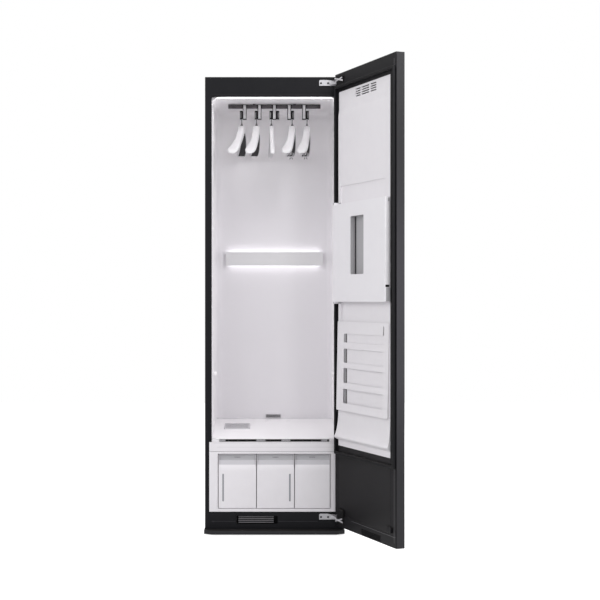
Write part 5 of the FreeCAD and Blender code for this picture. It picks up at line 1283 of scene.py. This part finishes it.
def drawer_front(left, right):
    """One front: the swept scoop between two slim cheeks that close its ends."""
    roll = curve_between([(0, ROLL_LOW), (0.7, ROLL_LOW + 8), (3.6, ROLL_LOW + 19),
                          (SLOPE_DEPTH, SLOPE_LOW)], 4)
    side = ([(0, FRONT_LOW)] + roll
            + [(BAND_DEPTH - 2, BAND_LOW - 1), (BAND_DEPTH, BAND_LOW), (BAND_DEPTH, BAND_HIGH), (6, FRONT_HIGH),
               (FRONT_FAR - FRONT_NEAR, FRONT_HIGH), (FRONT_FAR - FRONT_NEAR, FRONT_LOW)])
    sheet = swept([(FRONT_NEAR + y, z) for y, z in side], left, right)
    # Painted shade: the band in the scoop gets the darker grey, the slope the lighter one.
    painted(sheet, lambda face: BAND_LOW - 0.6 < face.center.z / MM < BAND_HIGH
            and face.center.y / MM < BAND_FACE + 0.2 and face.normal.y < -0.9)
    painted(sheet, lambda face: SLOPE_LOW - 2 < face.center.z / MM < BAND_LOW
            and -0.99 < face.normal.y < -0.1, 2)
    return rounded(sheet, 0.8, 2, 35)


for tag, left, right, cad_node in DRAWERS:
    body = tag + "_drawer"
    front = drawer_front(left, right)
    add_piece(tag + "_front_skin", front, body, ["drawer_white", "band_grey", "slope_grey"],
              [cad_node])
    cheeks = [block((edge, edge + 1.6), (FRONT_NEAR + 0.6, BAND_FACE), (ROLL_LOW, BAND_HIGH), 0.3)
              for edge in (left + 0.2, right - 1.8)]
    dashes = [block((middle - 1.6, middle + 1.6), (BAND_FACE - 0.35, BAND_FACE + 0.4), (324.2, 328.8), 0)
              for middle in [(left + right) / 2 + step * DASH_PITCH for step in range(-2, 3)]]
    add_piece(tag + "_front_cheeks", cheeks, body, "drawer_white")
    add_piece(tag + "_front_dashes", dashes, body, "slot_grey")

WINDOWS_AT = (("supply", -223, -216), ("drain", 62.5, 70))
for tag, left, right in WINDOWS_AT:
    rim = pad((left, right, 139, 257), 3, FRONT_NEAR - 0.5, FRONT_NEAR + 1,
              [round_rectangle(left + 1.3, right - 1.3, 140.5, 255.5, 1.8)])
    glass = pad((left + 0.9, right - 0.9, 140, 256), 2, FRONT_NEAR - 0.15, FRONT_NEAR + 0.8)
    add_piece(tag + "_level_rim", rounded(rim, 0.25, 2), tag + "_drawer", "slot_grey")
    add_piece(tag + "_level_glass", glass, tag + "_drawer", "level_grey")
print("drawer front", len(front.polygons), "faces")

# %% [markdown]
# ## Module surround
# The white surround of the drawers has a header with three fine seams. A seam is a slim shadow line, drawn
# as a narrow grey strip set just proud of the face.

# %% Header seams
SURROUND_DEPTHS = (-272.75, -272)
SEAMS = ((-262, 262, 388.6, "seam_grey"), (-245, 250, 371.4, "seam_grey"), (-278, 278, 352.6, "slot_grey"))

for number, (left, right, height, skin) in enumerate(SEAMS):
    seam = block((left, right), SURROUND_DEPTHS, (height - 0.45, height + 0.45), 0)
    add_piece("header_seam_%d" % number, seam, "cabinet", skin)
recess_lines = [block((x, x + 0.9), SURROUND_DEPTHS, (112, 341), 0) for x in (-243.6, 241.6)]
add_piece("surround_lines", recess_lines, "cabinet", "slot_grey")
print(len(SEAMS), "seams")

# %% [markdown]
# ## Screws
# One countersunk screw head is turned from a profile and its cross recess is cut into it. The grid tree then
# puts copies where pieces are fixed: on the hinge plates and the rear panel.

# %% Screw head
def screw_head(radius, rise):
    """A cross-recess screw head that looks towards the front."""
    profile = [(radius, 0.0), (radius, rise * 0.3), (radius * 0.86, rise * 0.75), (radius * 0.55, rise),
               (radius * 0.05, rise * 1.04)]
    head = turned(profile, (0, 0, 0), 20)
    head.transform(Matrix.Rotation(math.pi / 2, 4, "X"))
    arm, half = radius * 0.62, radius * 0.13
    plus = [(-arm, -half), (-half, -half), (-half, -arm), (half, -arm), (half, -half), (arm, -half),
            (arm, half), (half, half), (half, arm), (-half, arm), (-half, half), (-arm, half)]
    return smooth(minus(head, prism(plus, -rise * 2, -rise * 0.5)), 30)


HINGE_SCREW = screw_head(4.3, 1.8)
PANEL_SCREW = screw_head(3.6, 1.6)
print("screw head of", len(HINGE_SCREW.polygons), "faces")

# %% [markdown]
# ## Hinges
# The bright plate on the cabinet has a cut corner and two screws, and the arm beyond it is darker. The crossed
# links that fold into the door ride on the door, as does the black shoe that they run in.

# %% Hinges
HINGES = ((1917, 1945, (1944, 1925), (1932, 1940), 1914, 1951),
          (61, 89, (70, 66), (60, 80), 51, 88))
PLATE_LEFT, PLATE_RIGHT, PLATE_FACE = 191, 264, -275.5
LINK_START, LINK_STOP, BACK_LINK_STOP, LINK_HALF = 5, 86, 80, 3.2


def slanted_bar(start, stop, half, near, far):
    """A flat bar between two points of the door's face."""
    a, b = Vector(start), Vector(stop)
    side = Vector((a.y - b.y, b.x - a.x)).normalized() * half
    return prism([tuple(a + side), tuple(a - side), tuple(b - side), tuple(b + side)], near, far, 0.5)


arms = rounded(cad_copy("hinge_plates"), 0.6)
painted(arms, lambda face: face.center.y / MM < PLATE_FACE - 0.2, 2)
painted(arms, lambda face: face.center.x / MM > PLATE_RIGHT + 1)
add_piece("hinge_arms", arms, "cabinet", ["clip_black", "wire_metal", "hinge_metal"], ["hinge_plates"])

covers, screws, shoes, links = [], [], [], []
for low, high, first, second, shoe_low, shoe_high in HINGES:
    corner = [(PLATE_LEFT + 0.6, low + 1), (PLATE_RIGHT, low + 1), (PLATE_RIGHT, high - 8),
              (PLATE_LEFT + 34, high - 2), (PLATE_LEFT + 5, high - 2), (PLATE_LEFT + 0.6, high - 6)]
    covers.append(prism(corner, PLATE_FACE - 0.9, PLATE_FACE + 0.2, 0.5))
    screws.append(grid_of(HINGE_SCREW, 2, 1, (30, 0), (199.5, PLATE_FACE - 0.8, (low + high) / 2 - 2),
                          "clip_black"))
    shoes.append(block((14, 94), (-0.7, 0.3), (shoe_low, shoe_high), 0.3))
    shoes.append(block((82, 92), (-5, 0.2), (second[1] - 9, second[1] + 3), 1))
    links.append(slanted_bar((LINK_START, first[0]), (LINK_STOP, first[1]), LINK_HALF, -4.4, -2.6))
    links.append(slanted_bar((LINK_START, second[0]), (BACK_LINK_STOP, second[1]), LINK_HALF, -2.4, -0.8))
    for s in (8, 44, 78):
        height = first[0] + (first[1] - first[0]) * (s - LINK_START) / (LINK_STOP - LINK_START)
        rivet = screw_head(3.4, 1.6)
        rivet.transform(Matrix.Translation(Vector((s, -4.3, height)) * MM))
        links.append(rivet)
shoes.append(block((38, 96), (-8, 0.2), (90, 120), 4, 4))
add_piece("hinge_covers", covers, "cabinet", "hinge_metal")
add_piece("hinge_screws_skin", screws, "cabinet", "clip_black", ["hinge_screws"])
add_to_door("hinge_shoes", shoes, "clip_black")
add_to_door("hinge_links", links, "link_metal")
print("hinge links", len(links), "parts")

# %% [markdown]
# ## Foot of the door
# Below the liner the door is a plain dark panel. It has a seam, a slanted mesh for the air that the machine
# draws in, and a stop that meets the frame when the door shuts.

# %% Foot of the door and its free edge
MESH, MESH_PITCH = (273, 451, 46, 70), 8.6
SEAM_DEPTHS = (-0.35, 0.1)

seam = block((170, 588), SEAM_DEPTHS, (83.6, 84.8), 0)
groove = block((574.6, 577), SEAM_DEPTHS, (60, 1936), 0)
add_to_door("door_seams", [seam, groove], "line_dark")
low, high = MESH[2] + 0.5, MESH[3] - 0.5
slant = prism([(0, low), (2.4, low), (13, high), (10.6, high)], -0.6, 0.6)
slants = grid_of(slant, 20, 1, (MESH_PITCH, 0), (MESH[0] + 1, 0, 0), "black_border")
# A near-black plate behind the bars is painted shade for the dark inside.
back = pad(MESH, 1.5, -0.1, 0.9)
rim = pad((MESH[0] - 3, MESH[1] + 3, MESH[2] - 2.4, MESH[3] + 3), 2, -0.9, 0.3, [round_rectangle(*MESH, 1.5)])
add_to_door("door_mesh_bars", slants, "black_border")
add_to_door("door_mesh_back", back, "deep_black")
add_to_door("door_mesh_rim", rounded(rim, 0.3, 2), "black_border")
stop = joined([block((514, 548), (-5, 0.2), (95, 120), 1.5, 3), block((548, 560), (-8, 0.2), (97, 119), 2, 3)])
add_to_door("door_stop", stop, "black_border")
print("door mesh", len(slants.polygons), "faces")

# %% [markdown]
# ## Latch of the press
# A small slide on the end of the press lid holds it shut.

# %% Latch details
PRESS_END = (540.2, 541.06)

notch = block(PRESS_END, (-21, -4), (1051.5, 1061.5), 0.2)
add_to_door("press_notch", notch, "clip_black", body="press_cover")
corner = block(PRESS_END, (-9, -4), (1386, 1400), 0.2)
add_to_door("press_corner", corner, "strap_grey", body="press_cover")
print("latch details on the lid's end face")

# %% [markdown]
# ## Base
# The intake at the foot has four slats, a dark surround and a blind block. The plinth stands forward with
# its ends cut back, and a long groove runs across the base panel.

# %% Intake, groove and plinth
INTAKE = (-162, 14, 44, 77.5)
INTAKE_FACE = -272.5
GROOVES = ((-268, -165), (17, 186))
INTAKE_HOLE = (-154, -2, 46.5, 76)
SLAT_PITCH = 8.5

ring = pad(INTAKE, 2, INTAKE_FACE - 0.6, INTAKE_FACE + 8, [round_rectangle(*INTAKE_HOLE, 1)])
blind = block((-3, 12), (INTAKE_FACE - 1.4, INTAKE_FACE + 4), (46, 76), 1.2)
slat = block((-153.8, -2.2), (INTAKE_FACE + 0.2, INTAKE_FACE + 7), (0, 2.6), 0.4)
slats = grid_of(slat, 1, 4, (0, SLAT_PITCH), (0, 0, 48.4), "slat_grey")
# A near-black plate behind the slats is painted shade for the dark inside.
back = block((-155, -1), (INTAKE_FACE + 7.2, INTAKE_FACE + 8.2), (45, 77), 0)
add_piece("intake_ring", [rounded(ring, 0.5, 2), blind, back], "cabinet", "deep_black",
          ["intake_slats"])
add_piece("intake_bars", slats, "cabinet", "slat_grey")
grooves = [block(limits, (INTAKE_FACE - 0.3, INTAKE_FACE + 0.1), (53.2, 54.3), 0) for limits in GROOVES]
add_piece("base_grooves", grooves, "cabinet", "charcoal_edge")

PLINTH_PLAN = [(-300, -237.5), (-300, -297), (-264, -321.4), (264, -321.4), (300, -297), (300, -237.5)]
plinth = prism(PLINTH_PLAN, -21, -4.5)
plinth.transform(LAY_DOWN)
plinth = rounded(plinth, 1.2, 3)
# The plinth's top face gets the black as painted shade.
painted(plinth, lambda face: face.normal.z > 0.9)
add_piece("plinth_skin", plinth, "cabinet", ["plinth_black", "clip_black"], ["plinth"])
print("plinth corners", [tuple(round(c, 3) for c in v.co) for v in plinth.vertices[:2]])

# %% [markdown]
# ## Back of the cabinet
# The rear panel is stiffened by three pressed beads and held by twelve screws that sit in countersinks. The
# grid tree lays out both, as cutters first and then as screws.

# %% Rear panel
REAR_FACE = 272.5
BEAD_HALF, BEAD_ENDS, BEAD_PITCH = 7, (470, 1780), 185
SINK_RADIUS = 4.6
SCREW_AT, SCREW_STEP = (285, 62), 366

bead = pad((-BEAD_HALF, BEAD_HALF, *BEAD_ENDS), BEAD_HALF, REAR_FACE - 0.9, REAR_FACE + 1)
sink = prism(circle(SINK_RADIUS, 20), REAR_FACE - 1.5, REAR_FACE + 1)
first = (-SCREW_AT[0], 0, SCREW_AT[1])
cutters = [grid_of(bead, 3, 1, (BEAD_PITCH, 0), (-BEAD_PITCH, 0, 0), "galvanised"),
           grid_of(sink, 2, 6, (2 * SCREW_AT[0], SCREW_STEP), first, "galvanised")]
panel = minus(cad_copy("rear_panel"), joined(cutters))
add_piece("rear_panel_skin", rounded(panel, 0.3), "cabinet", "galvanised", ["rear_panel"])
PANEL_SCREW.transform(Matrix.Rotation(math.pi, 4, "Z"))
first = (first[0], REAR_FACE - 1.45, first[2])
screws = grid_of(PANEL_SCREW, 2, 6, (2 * SCREW_AT[0], SCREW_STEP), first, "steel")
for corner in screws.vertices:
    corner.co.y = min(corner.co.y, (REAR_FACE - 0.05) * MM)
add_piece("rear_screws", smooth(screws, 30), "cabinet", "steel")
print("rear panel", len(panel.polygons), "faces,", len(screws.polygons), "on its screws")

# %% [markdown]
# ## Ring tree
# Grips round a cap repeat on a circle. This second Geometry Nodes tree stands copies of one object on the
# points of a circle and turns each one to look outward.

# %% Ring tree
RING, wanted, given = new_tree("ring_of_copies", copy="Object", count="Int", radius="Float", middle="Vector",
                               finish="Material")
circle_points = node(RING, "GeometryNodeMeshCircle")
where = node(RING, "GeometryNodeInputPosition")
outward = node(RING, "FunctionNodeAlignRotationToVector", axis="X")
moved = node(RING, "GeometryNodeTransform")
copies, real = copies_on(RING, wanted, circle_points, "Mesh")
wire(RING, (wanted, "count", circle_points, "Vertices"), (wanted, "radius", circle_points, "Radius"),
     (where, 0, outward, "Vector"), (outward, 0, copies, "Rotation"), (real, 0, moved, "Geometry"),
     (wanted, "middle", moved, "Translation"))
hand_out(RING, wanted, moved, given)


def ring_of(mesh, count, radius, middle, skin):
    """Copies of a small mesh round a circle; sizes in millimetres."""
    return run_tree(RING, mesh, skin, count=count, radius=radius * MM, middle=tuple(c * MM for c in middle))


print("ring tree of", len(RING.nodes), "nodes")

# %% [markdown]
# ## Tank lids
# Each water tank is closed by a lid with a raised field, a fluted cap to fill or empty it and a wire bail
# that lies flat. They show when a drawer is pulled out.

# %% Tank lids
TANKS = (("supply", -235, -82, -200), ("drain", -71, 80.5, -62))
LID_LOW, LID_HIGH = 328.5, 333
LID_MIDDLE = -132
CAP_RADIUS = 19
CAP_PROFILE = ((CAP_RADIUS, -0.5), (CAP_RADIUS, 4.2), (CAP_RADIUS - 1.4, 5.4), (CAP_RADIUS - 5, 5.6),
               (CAP_RADIUS - 6, 4.6), (4, 4.4))
BAIL = ((9, -64), (9, -186), (14, -196), (24, -201))
BAIL_HIGH = LID_HIGH + 2.6
BOSS = (-72, -60)

flute = block((-1.2, 1.0), (-1.1, 1.1), (0, 4.6), 0.5)
for tag, left, right, cap_at in TANKS:
    body, middle = tag + "_drawer", (left + right) / 2
    lid = [block((left - 0.8, right + 0.8), (-248, -21), (LID_LOW, LID_HIGH), 1.4, 3),
           block((left + 12, right - 12), (-178, -86), (LID_HIGH - 1, LID_HIGH + 1.6), 1.2, 3)]
    add_piece(tag + "_tank_lid", lid, body, "bar_grey")
    place = (middle, cap_at, LID_HIGH)
    grips = ring_of(flute, 24, CAP_RADIUS, place, "band_grey")
    grip = block((middle - 12, middle + 12), (cap_at - 2.2, cap_at + 2.2), (LID_HIGH + 4, LID_HIGH + 6.6), 1, 3)
    cap = turned(CAP_PROFILE, place, 36)
    add_piece(tag + "_tank_cap", [cap, grips, grip], body, "band_grey")
    bail = [(left + x, y, BAIL_HIGH) for x, y in BAIL] + [(right - x, y, BAIL_HIGH) for x, y in BAIL[::-1]]
    pivots = BOSS
    if tag == "supply":
        bail = [(x, 2 * LID_MIDDLE - y, z) for x, y, z in bail]
        pivots = [2 * LID_MIDDLE - y for y in BOSS[::-1]]
    bosses = [block((x - 3.5, x + 3.5), pivots, (LID_HIGH - 0.5, LID_HIGH + 4.6), 1.2, 3)
              for x in (left + 9, right - 9)]
    add_piece(tag + "_tank_bail", [tube(bail, 1.9, 12)] + bosses, body, "wire_metal")
print("cap with", len(grips.polygons), "faces on its flutes")

# %% [markdown]
# ## Lint filter
# The third drawer holds a lint filter: a frame across its tray, a fine mesh from the grid tree and a tab.

# %% Lint filter
LINT = (94, 231, -244, -26)
LINT_TOP = Vector((0, 0, 209.6))

left, right, low, high = LINT
frame_hole = round_rectangle(left + 9, right - 9, low + 10, high - 10, 5)
frame_plate = rounded(pad(LINT, 8, -3.4, 0, [frame_hole]), 0.8)
tab = block((147, 178), (-7, -1), (low + 1, low + 8), 1.4, 3)
bars = joined(crossed_bars(LINT, (9, 10), (26, 44), 0.5, (-1.8, -1.6, -0.8), "band_grey"))
add_piece("lint_frame", laid(joined([frame_plate, tab]), 0, LINT_TOP), "filter_drawer", "band_grey")
add_piece("lint_mesh", laid(bars, 0, LINT_TOP), "filter_drawer", "slot_grey")
print("lint mesh", len(bars.polygons), "faces")
